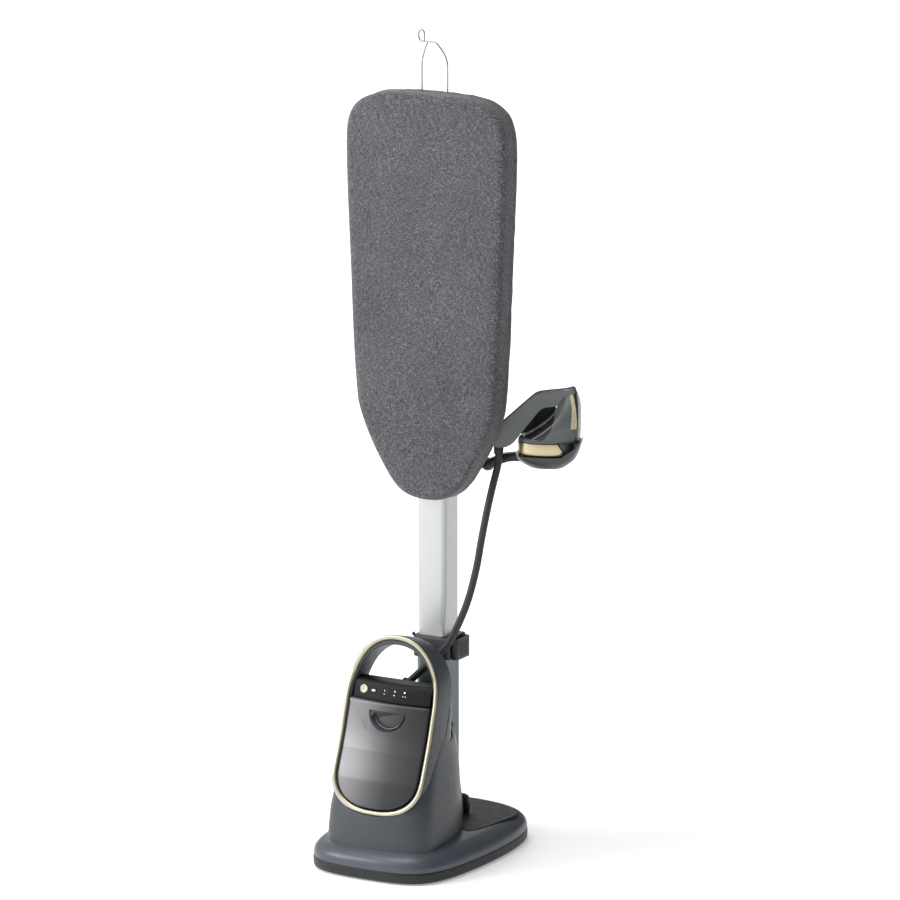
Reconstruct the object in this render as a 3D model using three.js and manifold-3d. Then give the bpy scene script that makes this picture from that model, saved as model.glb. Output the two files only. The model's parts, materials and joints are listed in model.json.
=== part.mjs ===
// Standing steam generator iron: a weighted base with the steam housing and a pull-out water tank, a
// telescopic pole with a tilting padded board, a garment hook, and a hand iron parked nose-up in a dock.
// Millimetres, +Z up, the front faces -Y, the origin is on the floor under the centre of the base.
import * as THREE from 'three';
import { mergeVertices } from 'three/addons/utils/BufferGeometryUtils.js';
import Module from 'manifold-3d';

const wasm = await Module();
wasm.setup();

// ---------------------------------------------------------------- driving dimensions
const GAP = 0.3;
const BASE = { floor: 2.5, plateTop: 27, coverTop: 67, wall: 4.5, footR: 15 };
const BASE_HALF = [[0, -278], [116, -278], [158, -264], [176, -145], [187, -55], [189, 64], [171, 140],
  [158, 206], [122, 254], [0, 256]];
const DECK = { sink: 2.6, top: 66, play: 1.5 };
const DECK_HALF = [[0, -14], [94, -14], [112, -24], [124, -30], [133, -22], [139, 2], [150, 72], [155, 125],
  [154, 156], [143, 174], [106, 196], [60, 211], [0, 216]];
const SHOE = { half: 52, front: 98.6, back: 112, top: 108 };
const HOOP = { half: 116, low: 135, mid: 228, high: 366, top: 516, power: 2.2, foot: 2.5, depth: 62,
  side: 14, grip: 22, fall: 16 };
const TRIM = { width: 12, thick: 5 };
const HOUSING = { floor: 60, shoulder: 295, roof: 372, wall: 3, bayBack: -94, sideFloor: 226 };
const TANK = { gap: 1.2, roof: 370, back: -98, wall: 2.5 };
const PANEL = { floor: 371.5, roof: 412, back: -100, play: 1 };
const BUTTON = { powerX: -70, modeX: -44, z: 392, powerR: 9.5 };
const POLE = { y: 58.5, w: 72, d: 64, r: 12, wall: 2, outerFloor: 12, outerTop: 470, innerFloor: 320,
  innerTop: 1096 };
const COLLAR = { floor: 434, top: 483, left: -44, right: 52, front: 17, back: 100 };
const LEVER = { x: 52.6, y: 24, reach: 15, depth: 60, wall: 4 };
const HINGE = { y: 40, z: 1135, pinR: 6, earX: 44, earW: 8 };
const BOARD = { front: -5, back: 53, skin: 2, rim: 11, floor: 3, foam: 9 };
const BOARD_HALF = [[0, 793], [46, 793], [70, 806], [94, 840], [122, 880], [160, 945], [173, 1001],
  [183, 1080], [187, 1200], [190, 1290], [195, 1400], [202, 1520], [200, 1590],
  [198, 1655], [170, 1682], [90, 1689], [60, 1691], [30, 1692], [0, 1692]];
const HOOK = { y: 45, r: 1.8, legX: 32, foot: 1560, knee: 1750 };
const IRON = { x: 225, y: 110, z: 904, turn: 24 * Math.PI / 180, sole: 81, soleThick: 7 };
const HOSE = { r: 8, sides: 10, steps: 18, split: 0.45 };
const HOSE_ROUTE = [[-44, 3, 376], [-36.8, 3, 382.9], [-22, 3, 397], [0, 2, 417], [16, 1, 432], [37, 0, 453],
  [61, 0, 481], [80, 7, 521], [99, 17, 576], [115, 26, 648], [125, 33, 718], [134, 44, 786], [139.5, 58, 836],
  [142.8, 69, 868], [143.7, 73.4, 884], [143.7, 73.8, 892], [143.7, 73.8, 899.4]];

// ---------------------------------------------------------------- colours
const finish = (color, roughness, metalness = 0) =>
  new THREE.MeshStandardMaterial({ color, roughness, metalness });
const SLATE = finish(0x4e545c, 0.55);
const HOUSE = finish(0x42484e, 0.5);
const DARK = finish(0x2f3238, 0.5);
const BLACK = finish(0x1d1f22, 0.35);
const GOLD = finish(0xc9b88f, 0.32, 0.8);
const ALU = finish(0xcfd3d3, 0.35, 0.9);
const STEEL = finish(0x8d9092, 0.3, 0.9);
const SMOKE = finish(0x77797c, 0.15);
const FABRIC = finish(0x5d5c60, 0.95);
const FOAM = finish(0xa9a69c, 0.95);
const IRONGREY = finish(0x4a4e50, 0.4);
const RUBBER = finish(0x26282b, 0.8);
const LIGHT = finish(0xe8e6da, 0.4);
const BOARDGREEN = finish(0x2d5a3c, 0.6);

// ---------------------------------------------------------------- helpers
const part = new THREE.Group();
part.name = 'steam_generator_iron';

function add(name, geometry, material, parent = part) {
  const mesh = new THREE.Mesh(geometry, material);
  mesh.name = name;
  parent.add(mesh);
  return mesh;
}

function solidOf(geometry) {
  let bare = geometry.clone();
  bare.deleteAttribute('normal');
  bare.deleteAttribute('uv');
  bare = mergeVertices(bare, 1e-4);
  const mesh = new wasm.Mesh({
    numProp: 3,
    vertProperties: Float32Array.from(bare.attributes.position.array),
    triVerts: Uint32Array.from(bare.index.array),
  });
  return new wasm.Manifold(mesh);
}

function geometryOf(solid) {
  const mesh = solid.getMesh();
  const geometry = new THREE.BufferGeometry();
  geometry.setAttribute('position', new THREE.BufferAttribute(Float32Array.from(mesh.vertProperties), 3));
  geometry.setIndex(new THREE.BufferAttribute(Uint32Array.from(mesh.triVerts), 1));
  return geometry;
}

function cut(base, ...tools) {
  return geometryOf(tools.reduce((left, tool) => left.subtract(solidOf(tool)), solidOf(base)));
}

function join(base, ...others) {
  return geometryOf(others.reduce((left, other) => left.add(solidOf(other)), solidOf(base)));
}

function common(base, other) {
  return geometryOf(solidOf(base).intersect(solidOf(other)));
}

function box(x0, x1, y0, y1, z0, z1) {
  const geometry = new THREE.BoxGeometry(x1 - x0, y1 - y0, z1 - z0);
  return geometry.translate((x0 + x1) / 2, (y0 + y1) / 2, (z0 + z1) / 2);
}

// A cylinder whose axis is 'x', 'y' or 'z', from one end to the other along that axis.
function rod(axis, radius, from, to, a, b, sides = 20) {
  const geometry = new THREE.CylinderGeometry(radius, radius, to - from, sides);
  const middle = (from + to) / 2;
  if (axis === 'x') return geometry.rotateZ(-Math.PI / 2).translate(middle, a, b);
  if (axis === 'y') return geometry.translate(a, middle, b);
  return geometry.rotateX(Math.PI / 2).translate(a, b, middle);
}

function shapeOf(points) {
  return new THREE.Shape(points.map(([x, y]) => new THREE.Vector2(x, y)));
}

// Prism of an outline drawn in X and Y, standing from z0 to z1.
function prismZ(points, z0, z1) {
  const geometry = new THREE.ExtrudeGeometry(shapeOf(points), { depth: z1 - z0, bevelEnabled: false });
  return geometry.translate(0, 0, z0);
}

// Prism of an outline drawn in X and Z, lying from y0 to y1.
function prismY(points, y0, y1) {
  const geometry = new THREE.ExtrudeGeometry(shapeOf(points), { depth: y1 - y0, bevelEnabled: false });
  return geometry.rotateX(Math.PI / 2).translate(0, y1, 0);
}

function roundedRect(cx, cy, w, d, r, steps = 4) {
  const points = [];
  for (let corner = 0; corner < 4; corner += 1) {
    const sx = corner === 0 || corner === 3 ? 1 : -1;
    const sy = corner < 2 ? 1 : -1;
    for (let i = 0; i <= steps; i += 1) {
      const angle = (corner + i / steps) * Math.PI / 2;
      points.push([cx + sx * (w / 2 - r) + r * Math.cos(angle), cy + sy * (d / 2 - r) + r * Math.sin(angle)]);
    }
  }
  return points;
}

// Right half of an outline through a chain of cubic Bezier pieces, mirrored into a closed loop.
function mirroredBezier(chain, stepsPerPiece) {
  const half = [];
  for (let i = 0; i + 3 < chain.length; i += 3) {
    const [a, b, c, d] = chain.slice(i, i + 4).map(([x, y]) => new THREE.Vector2(x, y));
    const curve = new THREE.CubicBezierCurve(a, b, c, d);
    for (let s = 0; s < stepsPerPiece; s += 1) {
      const p = curve.getPoint(s / stepsPerPiece);
      half.push([p.x, p.y]);
    }
  }
  half.push(chain[chain.length - 1]);
  const mirrored = half.slice(1, -1).reverse().map(([x, y]) => [-x, y]);
  return half.concat(mirrored);
}

// The same loop moved inwards by a distance along its own normals.
function inset(points, distance) {
  const n = points.length;
  return points.map(([x, y], i) => {
    const [ax, ay] = points[(i + n - 1) % n];
    const [bx, by] = points[(i + 1) % n];
    const length = Math.hypot(bx - ax, by - ay);
    return [x - distance * (by - ay) / length, y + distance * (bx - ax) / length];
  });
}

// Closed solid through loops of 3-D points with equal counts, capped flat at both ends.
function loft(rings) {
  const count = rings[0].length;
  const positions = rings.flat(2);
  const index = [];
  for (let r = 0; r + 1 < rings.length; r += 1) {
    for (let i = 0; i < count; i += 1) {
      const a = r * count + i;
      const b = r * count + (i + 1) % count;
      index.push(a, b, b + count, a, b + count, a + count);
    }
  }
  capLoop(rings[0], 0, index, true);
  capLoop(rings[rings.length - 1], (rings.length - 1) * count, index, false);
  return outward(positions, index);
}

// Closed solid through loops of 3-D points where the last loop joins the first again.
function loftRound(rings) {
  const count = rings[0].length;
  const total = rings.length;
  const index = [];
  for (let r = 0; r < total; r += 1) {
    for (let i = 0; i < count; i += 1) {
      const a = r * count + i;
      const b = r * count + (i + 1) % count;
      const c = ((r + 1) % total) * count + (i + 1) % count;
      const d = ((r + 1) % total) * count + i;
      index.push(a, b, c, a, c, d);
    }
  }
  return outward(rings.flat(2), index);
}

function capLoop(ring, start, index, reverse) {
  const spread = [0, 1, 2].map((k) => {
    const values = ring.map((p) => p[k]);
    return Math.max(...values) - Math.min(...values);
  });
  const flat = spread.indexOf(Math.min(...spread));
  const [u, v] = [[1, 2], [2, 0], [0, 1]][flat];
  const contour = ring.map((p) => new THREE.Vector2(p[u], p[v]));
  const clockwise = THREE.ShapeUtils.isClockWise(contour);
  const faces = THREE.ShapeUtils.triangulateShape(clockwise ? contour.slice().reverse() : contour, []);
  const last = ring.length - 1;
  for (const face of faces) {
    const [a, b, c] = face.map((k) => start + (clockwise ? last - k : k));
    if (clockwise === reverse) index.push(a, b, c);
    else index.push(a, c, b);
  }
}

function outward(positions, index) {
  let volume = 0;
  const at = (k) => new THREE.Vector3(positions[3 * k], positions[3 * k + 1], positions[3 * k + 2]);
  for (let i = 0; i < index.length; i += 3) {
    volume += at(index[i]).dot(at(index[i + 1]).cross(at(index[i + 2])));
  }
  const geometry = new THREE.BufferGeometry();
  geometry.setAttribute('position', new THREE.BufferAttribute(Float32Array.from(positions), 3));
  const facing = volume > 0 ? index : index.slice().reverse();
  geometry.setIndex(facing);
  return geometry;
}

const level = (points, z) => points.map(([x, y]) => [x, y, z]);
const mix = (a, b, t) => a + (b - a) * t;

// Tube along a smooth curve through points; the ends are flat.
function tube(points, radius, sides, steps) {
  const curve = new THREE.CatmullRomCurve3(points.map((p) => new THREE.Vector3(...p)));
  const circle = [];
  for (let i = 0; i < sides; i += 1) {
    const angle = 2 * Math.PI * i / sides;
    circle.push([radius * Math.cos(angle), radius * Math.sin(angle)]);
  }
  return new THREE.ExtrudeGeometry(shapeOf(circle), { steps, bevelEnabled: false, extrudePath: curve });
}

// ---------------------------------------------------------------- base
function baseRing(distance) {
  return inset(mirroredBezier(BASE_HALF, 5), distance);
}

// Rounded hull of the base cover, moved inwards and lowered.
function coverHull(distance, drop) {
  const from = BASE.plateTop + GAP;
  const profile = [[0, from], [0.5, 38], [4, 47], [13, 56], [28, 63], [60, BASE.coverTop]];
  return loft(profile.map(([d, z], i) => level(baseRing(d + 1 + distance), i ? z - drop : from - drop)));
}

function makeBase() {
  const plate = loft([
    level(baseRing(4), BASE.floor),
    level(baseRing(1), BASE.floor + 2.5),
    level(baseRing(0), BASE.floor + 8),
    level(baseRing(0), BASE.plateTop),
  ]);
  const tray = loft([level(baseRing(6), BASE.floor + 4), level(baseRing(6), BASE.plateTop + 5)]);
  add('base_plate', cut(plate, tray), DARK);

  const steel = prismZ(roundedRect(0, -20, 250, 380, 30), BASE.floor + 4.3, BASE.floor + 7.3);
  add('reinforcing_plate', steel, STEEL);

  const feet = [['front_left', -120, -200], ['front_right', 120, -200], ['rear_left', -105, 170],
    ['rear_right', 105, 170], ['centre', 0, 0]];
  for (const [place, x, y] of feet) {
    add(`foot_${place}`, rod('z', BASE.footR, 0, BASE.floor - GAP, x, y), RUBBER);
  }

  const outer = coverHull(0, 0);
  const inner = coverHull(BASE.wall, BASE.wall);
  const deckFloor = BASE.coverTop - DECK.sink;
  const plan = DECK_HALF.concat(DECK_HALF.slice(1, -1).reverse().map(([x, y]) => [-x, y]));
  const recess = prismZ(plan, deckFloor, BASE.coverTop + 9);
  const well = prismZ(roundedRect(0, POLE.y, 84, 78, 14), 20, 90);
  const wires = box(-60, 60, -170, 10, 40, 90);
  const inlet = box(-15, 15, 233, 268, 31, 45);
  add('base_cover', cut(outer, inner, recess, well, wires, inlet), SLATE);
  add('rear_deck', cut(prismZ(inset(plan, DECK.play), deckFloor + GAP, DECK.top), well, wires), DARK);
  const { half, front, back, top } = SHOE;
  const shoe = [[half - 2, DECK.top + GAP], [half, top - 18], [half - 4, top - 4], [half - 12, top]];
  add('pole_shoe', prismY(shoe.concat(shoe.slice().reverse().map(([x, z]) => [-x, z])), front, back), DARK);
}

// ---------------------------------------------------------------- housing
// How far forward the front face stands at a height: it leans back, then rises almost upright.
function lean(z) {
  const stops = [[60, -234], [134, -227], [208, -205], [260, -184], [300, -169], [340, -157], [372, -147],
    [430, -129], [470, -123], [520, -118]];
  for (let i = 0; i + 1 < stops.length; i += 1) {
    const [z0, y0] = stops[i];
    const [z1, y1] = stops[i + 1];
    if (z <= z1) return mix(y0, y1, Math.max(0, (z - z0) / (z1 - z0)));
  }
  return stops[stops.length - 1][1];
}

// Outline of the carrying hoop seen from the front, moved inwards by a side and a top distance.
function hoopOutline(side, top, steps = 12) {
  const half = HOOP.half - side;
  const points = [];
  for (let i = 0; i < steps; i += 1) {
    const angle = -Math.PI / 2 + i / steps * Math.PI / 2;
    const drop = (HOOP.mid - HOOP.low - side) * Math.abs(Math.sin(angle)) ** (2 / HOOP.foot);
    points.push([half * Math.abs(Math.cos(angle)) ** (2 / HOOP.foot), HOOP.mid - drop]);
  }
  points.push([half, HOOP.mid], [half, (HOOP.mid + HOOP.high) / 2]);
  const rise = HOOP.top - HOOP.high - top;
  for (let i = 0; i <= steps; i += 1) {
    const angle = i / steps * Math.PI / 2;
    const x = half * Math.cos(angle) ** (2 / HOOP.power);
    points.push([x, HOOP.high + rise * Math.sin(angle) ** (2 / HOOP.power)]);
  }
  points[points.length - 1][0] = 0;
  const mirrored = points.slice(1, -1).reverse().map(([x, z]) => [-x, z]);
  return points.concat(mirrored);
}

// Inner half width of the hoop at a height above its widest part.
function gripHalf(z) {
  const rise = HOOP.top - HOOP.high - HOOP.grip;
  const t = Math.max(0, (z - HOOP.high) / rise);
  return (HOOP.half - HOOP.side) * (1 - t ** HOOP.power) ** (1 / HOOP.power);
}

const followLean = (points, offset) => points.map(([x, z]) => [x, lean(z) + offset, z]);

function makeHoop() {
  const outer = hoopOutline(GAP, GAP);
  const rear = hoopOutline(GAP, HOOP.fall);
  const inner = hoopOutline(HOOP.side, HOOP.grip);
  const innerRear = hoopOutline(HOOP.side, HOOP.grip + HOOP.fall * 0.6);
  add('carry_hoop', loftRound([followLean(outer, 0), followLean(rear, HOOP.depth),
    followLean(innerRear, HOOP.depth), followLean(inner, 0)]), HOUSE);
  const rimInner = hoopOutline(TRIM.width, TRIM.width);
  const back = -3 * GAP;
  add('hoop_trim', loftRound([followLean(outer, -TRIM.thick * 0.6), followLean(outer, back),
    followLean(rimInner, back), followLean(rimInner, -TRIM.thick)]), GOLD);
}

// Plan of the housing: front edge, half width, waist point, and the half width and end of its tail.
function teardrop(front, half, [waistX, waistY], tail, end, z, distance = 0) {
  const back = end - tail * 0.7;
  const chain = [[0, front], [half * 0.62, front + 1], [half, front + 12], [half, front + 56],
    [half, waistY - 30], [waistX, waistY], [tail, back],
    [tail - 1, end - 6], [tail * 0.7, end], [0, end]];
  return level(inset(mirroredBezier(chain, 5), distance), z);
}

// A cylinder along the first stretch of the hose, between two distances from where the hose starts.
function portRod(radius, from, to) {
  const start = new THREE.Vector3(...HOSE_ROUTE[0]);
  const along = new THREE.Vector3(...HOSE_ROUTE[1]).sub(start).normalize();
  const geometry = new THREE.CylinderGeometry(radius, radius, to - from, 18).translate(0, (from + to) / 2, 0);
  const turn = new THREE.Quaternion().setFromUnitVectors(new THREE.Vector3(0, 1, 0), along);
  return geometry.applyQuaternion(turn).translate(start.x, start.y, start.z);
}

function housingShell() {
  const lower = (d) => loft([
    teardrop(-245, 130, [119, -26], 56, 98, HOUSING.floor - d, d),
    teardrop(-243, 129, [118.5, -26], 56, 98, 80, d),
    teardrop(-236, 127, [117, -27], 55, 88, 134, d),
    teardrop(-213, 121, [113, -24], 54, 76, 208, d),
    teardrop(-199, 118, [111, -26], 53, 72, 246, d),
    teardrop(-180, 116.6, [104, -32], 50, 68, HOUSING.shoulder - 11 - d, d),
    teardrop(-176, 116.2, [98, -40], 46, 60, HOUSING.shoulder - d, d),
  ]);
  const upper = (d) => loft([
    teardrop(-208, 117.5, [103, -47], 42, 23, 200, d),
    teardrop(-172, 116, [103, -47], 42, 23, 300, d),
    teardrop(-150, 116, [103, -47], 42, 23, HOUSING.roof - 8 - d, d),
    teardrop(-142, 110, [96, -52], 36, 18, HOUSING.roof - d, d),
  ]);
  const outer = join(lower(0), upper(0));
  const inner = join(lower(HOUSING.wall), upper(HOUSING.wall));
  const rear = HOOP.depth + 2 * GAP;
  const mouth = loft([followLean(hoopOutline(0, 0), -90), followLean(hoopOutline(0, 0), rear)]);
  const over = box(-140, 140, -300, -98, PANEL.floor - 1, 600);
  const pole = prismZ(roundedRect(0, POLE.y, POLE.w + 6 + 1, POLE.d + 6 + 1, POLE.r + 3), 40, 420);
  const flank = [HOUSING.sideFloor, 260, 300, 340, 372, 430].map((z) => [lean(z) + rear, z]);
  const sides = loft([-140, 140].map((x) => [[x, -300, HOUSING.sideFloor]]
    .concat(flank.map(([y, z]) => [x, y, z]), [[x, -300, 430]])));
  const base = coverHull(0, 0).translate(0, 0, GAP);
  return cut(outer, inner, mouth, over, pole, sides, portRod(15, -50, 40), base);
}

function makeHousing() {
  const shell = housingShell();
  const split = -40;
  add('housing_front', common(shell, box(-200, 200, -300, split - GAP / 2, 0, 600)), HOUSE);
  add('housing_rear', common(shell, box(-200, 200, split + GAP / 2, 200, 0, 600)), HOUSE);
  const bay = hoopOutline(HOOP.side + 2, HOOP.grip + 2).map(([x, z]) => [x, Math.min(z, HOUSING.roof - 8)]);
  const chassis = prismY(bay, HOUSING.bayBack, HOUSING.bayBack + 3);
  add('tank_bay_wall', cut(chassis, rod('y', 9, -120, -60, 0, 168)), DARK);
}

function makePanel() {
  const crown = (z, setBack) => {
    const half = gripHalf(PANEL.roof) - PANEL.play;
    const front = [];
    const steps = 8;
    for (let i = 0; i <= steps; i += 1) {
      const t = mix(-1, 1, i / steps);
      front.push([t * half, lean(z) + 2 + setBack - 9 * (1 - t * t), z]);
    }
    return front.concat([[half, PANEL.back, z], [-half, PANEL.back, z]]);
  };
  const block = loft([crown(PANEL.floor, 0), crown(PANEL.roof - 8, 0), crown(PANEL.roof, 6)]);
  const hollow = box(-88, 88, -122, -60, PANEL.floor + 3, PANEL.roof - 4);
  const power = rod('y', BUTTON.powerR + 0.5, -200, -100, BUTTON.powerX, BUTTON.z);
  const mode = box(BUTTON.modeX - 7, BUTTON.modeX + 7, -200, -100, BUTTON.z - 3.5, BUTTON.z + 3.5);
  const lens = box(-12.5, 40.5, -200, -100, BUTTON.z - 8.5, BUTTON.z + 8.5);
  add('control_panel', cut(block, hollow, power, mode, lens), BLACK);
  add('indicator_lens', box(-12, 40, -148, -142, BUTTON.z - 8, BUTTON.z + 8), SMOKE);
  add('control_board', box(-80, 80, -112, -110.4, PANEL.floor + 6, PANEL.roof - 8), BOARDGREEN);
  const cap = rod('y', BUTTON.powerR, -154, -128, BUTTON.powerX, BUTTON.z, 24);
  add('power_button', cap, GOLD);
  const key = box(BUTTON.modeX - 6.5, BUTTON.modeX + 6.5, -152, -130, BUTTON.z - 3, BUTTON.z + 3);
  add('mode_button', key, LIGHT);
}

// ---------------------------------------------------------------- steam works inside the housing
function makeWorks() {
  const boiler = new THREE.LatheGeometry([[0, 0], [30, 0], [37, 7], [37, 93], [30, 100], [0, 100]]
    .map(([r, z]) => new THREE.Vector2(r, z)), 20);
  add('boiler', boiler.rotateX(Math.PI / 2).translate(0, -48, 200), STEEL);
  add('pump', join(box(-26, 26, -84, -34, 110, 150), rod('y', 15, -36, 14, 0, 130, 16)), DARK);
  add('steam_valve', join(box(-14, 14, -62, -34, 312, 340), rod('z', 6, 300.5, 320, 0, -48, 12)), STEEL);
  add('tank_socket', join(rod('y', 14, -90.7, -72, 0, 168, 16), rod('y', 6, -94, -80, 0, 168, 12)), DARK);
  add('hose_port', cut(portRod(14.5, -22, -GAP), portRod(6, -30, 5)), RUBBER);
  add('power_inlet', cut(box(-14.5, 14.5, 237, 258, 31.5, 44.5), box(-10, 10, 244, 268, 34.5, 41.5)), RUBBER);
}

// ---------------------------------------------------------------- water tank
function tankOutline(extra) {
  const side = HOOP.side + TANK.gap + extra;
  return hoopOutline(side, HOOP.grip + extra).map(([x, z]) => [x, Math.min(z, TANK.roof - extra)]);
}

function makeTank(parent) {
  const face = (points, crown) => points.map(([x, z]) => {
    const bulge = crown * (1 - (x / HOOP.half) ** 2);
    return [x, lean(z) + 3 - bulge, z];
  });
  const rear = (points, y) => points.map(([x, z]) => [x, y, z]);
  const shell = loft([face(tankOutline(0), 9), rear(tankOutline(0), TANK.back)]);
  const water = loft([face(tankOutline(TANK.wall), 5).map(([x, y, z]) => [x, y + 1, z]),
    rear(tankOutline(TANK.wall), TANK.back - TANK.wall)]);
  const filler = box(-40, 40, -146, -112, TANK.roof - 8, TANK.roof + 8);
  const spout = rod('y', 7, TANK.back - 8, TANK.back + 8, 0, 168, 16);
  const half = [];
  for (let i = 0; i <= 10; i += 1) {
    const angle = Math.PI + i / 10 * Math.PI;
    half.push([48 * Math.cos(angle), 353 + 46 * Math.sin(angle)]);
  }
  const pull = prismY(half, -260, -146);
  const body = cut(shell, water, filler, spout, pull);
  add('water_tank', body, SMOKE, parent);
  const cupOuter = prismY(half.map(([x, z]) => [x * 0.985, mix(353 - 20, z, 0.985)]), -172, -143);
  const cupInner = prismY(half.map(([x, z]) => [x * 0.93, mix(353 - 20, z, 0.93)]), -200, -146);
  const trimmed = common(cupOuter, loft([face(tankOutline(0), 8), rear(tankOutline(0), TANK.back)]));
  add('tank_grip', cut(trimmed, cupInner), SMOKE, parent);
  add('tank_valve', rod('y', 6.6, TANK.back - 9, TANK.back + 2, 0, 168, 16), RUBBER, parent);
  add('tank_lid', box(-39.5, 39.5, -145.5, -112.5, TANK.roof - 2.2, TANK.roof), SMOKE, parent);
}

// ---------------------------------------------------------------- pole and collar
function polePipe(extra, from, to) {
  const outline = (d, r) => roundedRect(0, POLE.y, POLE.w + d, POLE.d + d, r);
  return cut(prismZ(outline(extra, POLE.r + extra / 2), from, to),
    prismZ(outline(extra - 2 * POLE.wall, POLE.r + extra / 2 - POLE.wall), from - 1, to + 1));
}

function makeStandPole() {
  const socket = roundedRect(0, POLE.y, 104, 98, 16);
  const well = roundedRect(0, POLE.y, POLE.w + 6 + 0.8, POLE.d + 6 + 0.8, POLE.r + 3);
  const block = prismZ(socket, BASE.floor + 7.6, BASE.coverTop - BASE.wall - 1);
  add('pole_socket', cut(block, prismZ(well, POLE.outerFloor + 1, 90)), STEEL);
  add('pole_outer', polePipe(6, POLE.outerFloor + 1.3, POLE.outerTop), ALU);
  const sleeve = prismZ(roundedRect((COLLAR.left + COLLAR.right) / 2, (COLLAR.front + COLLAR.back) / 2,
    COLLAR.right - COLLAR.left, COLLAR.back - COLLAR.front, 13), COLLAR.floor, COLLAR.top);
  const lowBore = prismZ(roundedRect(0, POLE.y, POLE.w + 6.8, POLE.d + 6.8, POLE.r + 3), COLLAR.floor - 5,
    POLE.outerTop + GAP);
  const highBore = prismZ(roundedRect(0, POLE.y, POLE.w + 0.8, POLE.d + 0.8, POLE.r), POLE.outerTop,
    COLLAR.top + 5);
  add('collar', cut(sleeve, lowBore, highBore), DARK);
}

function makeLever(parent) {
  const { x, y, reach, depth } = LEVER;
  const outer = roundedRect(x + reach / 2, y + depth / 2, reach, depth, 7);
  const inner = roundedRect(x + (reach - LEVER.wall) / 2, y + depth / 2, reach - LEVER.wall, depth - 14, 4);
  const solid = prismZ(outer, COLLAR.floor + 1, COLLAR.top - 2);
  const loop = cut(solid, prismZ(inner, COLLAR.floor - 5, COLLAR.top + 5),
    box(x - 5, x + 5, y + 10, y + depth - 10, 400, 500));
  add('clamp_lever', loop, DARK, parent);
}

function makeMast() {
  add('pole_inner', polePipe(0, POLE.innerFloor, POLE.innerTop), ALU);
  const bush = cut(prismZ(roundedRect(0, POLE.y, POLE.w + 1.4, POLE.d + 1.4, POLE.r), POLE.innerFloor - 16,
    POLE.innerFloor - GAP), prismZ(roundedRect(0, POLE.y, 40, 34, 8), 200, 400));
  add('glide_bush', bush, RUBBER);
  const plug = prismZ(roundedRect(0, POLE.y, POLE.w - 2 * POLE.wall - 0.8, POLE.d - 2 * POLE.wall - 0.8, 9),
    1050, POLE.innerTop + GAP + 1);
  const cap = prismZ(roundedRect(0, POLE.y, POLE.w, POLE.d, POLE.r), POLE.innerTop + GAP, 1112);
  const boss = rod('x', 15, -34, 34, HINGE.y, HINGE.z, 24);
  const neck = box(-34, 34, HINGE.y - 12, HINGE.y + 15, 1108, HINGE.z);
  const bore = rod('x', HINGE.pinR + 0.3, -60, 60, HINGE.y, HINGE.z);
  add('pole_head', cut(join(cap, plug, boss, neck), bore), DARK);
}

// ---------------------------------------------------------------- board
function boardRing(distance, y) {
  return inset(mirroredBezier(BOARD_HALF, 4), distance).map(([x, z]) => [x, y, z]);
}

function makeBoard() {
  const { front, back, skin, foam, rim } = BOARD;
  const notch = box(-42, 42, back - 31, back + 5, 780, 870);
  const wires = [-1, 1].map((s) => s * HOOK.legX)
    .map((x) => box(x - 3, x + 3, HOOK.y - 4, back + 5, 1660, 1712));
  const cover = cut(
    loft([boardRing(10, front), boardRing(3, front + 3), boardRing(0, front + 10), boardRing(0, back - 4),
      boardRing(2, back)]),
    loft([boardRing(12, front + skin), boardRing(5, front + skin + 3), boardRing(skin, front + 12),
      boardRing(skin, back - 8), boardRing(skin, back + 4)]), notch, ...wires);
  add('board_cover', cover, FABRIC);
  const pad = loft([boardRing(13, front + skin + GAP), boardRing(6, front + skin + 3 + GAP),
    boardRing(skin + 2, front + 13), boardRing(skin + 2, front + skin + foam)]);
  add('board_pad', pad, FOAM);
  const deck = front + skin + foam + GAP;
  const tray = cut(loft([boardRing(skin + 2, deck), boardRing(skin + 2, back - 1)]),
    loft([boardRing(rim, deck + BOARD.floor), boardRing(rim, back + 5)]), notch, ...wires);
  const ears = [-1, 1].map((s) => {
    const x0 = s * HINGE.earX;
    const x1 = s * (HINGE.earX + HINGE.earW);
    const low = Math.min(x0, x1);
    const high = Math.max(x0, x1);
    return join(box(low, high, deck + 1, HINGE.y, HINGE.z - 30, HINGE.z + 30),
      rod('x', 16, low, high, HINGE.y, HINGE.z));
  });
  const holes = rod('x', HINGE.pinR + 0.3, -80, 80, HINGE.y, HINGE.z);
  add('board_frame', cut(join(tray, ...ears), holes), DARK);
  const pin = join(rod('x', HINGE.pinR, -57, 57, HINGE.y, HINGE.z),
    rod('x', 10, -58, -HINGE.earX - HINGE.earW - GAP,
    HINGE.y, HINGE.z), rod('x', 10, HINGE.earX + HINGE.earW + GAP, 58, HINGE.y, HINGE.z));
  add('hinge_pin', pin, STEEL);
  const guide = cut(box(-44, 44, deck + BOARD.floor + GAP, back - 1, 1630, 1672), ...[-1, 1].map((s) =>
    rod('z', HOOK.r + 0.5, 1600, 1800, s * HOOK.legX, HOOK.y, 12)));
  add('hook_guide', guide, DARK);
}

function makeHook() {
  const { y, r, legX, foot, knee } = HOOK;
  const path = [[legX, foot], [legX, knee - 60], [legX, knee], [29, knee + 9], [17, knee + 28], [6, 1795],
    [0, 1799], [-20, 1799], [-34, 1799.5], [-39, 1804], [-40, 1814], [-38, 1821], [-33, 1824], [-28, 1821],
    [-26, 1814]];
  const stem = tube(path.map(([x, z]) => [x, y, z]), r, 6, 40);
  const left = [[-legX, foot], [-legX, knee - 60], [-legX, knee], [-31, knee + 10], [-22, knee + 32],
    [-17, 1800]];
  const leg = tube(left.map(([x, z]) => [x, y, z]), r, 6, 14);
  const prong = rod('z', r, 1799, 1814, -26, y, 6);
  const rung = tube([[-legX, y, foot + 2], [0, y, foot - 2], [legX, y, foot + 2]], r, 6, 4);
  add('hanger_hook', join(stem, leg, rung, prong), STEEL);
}

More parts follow.
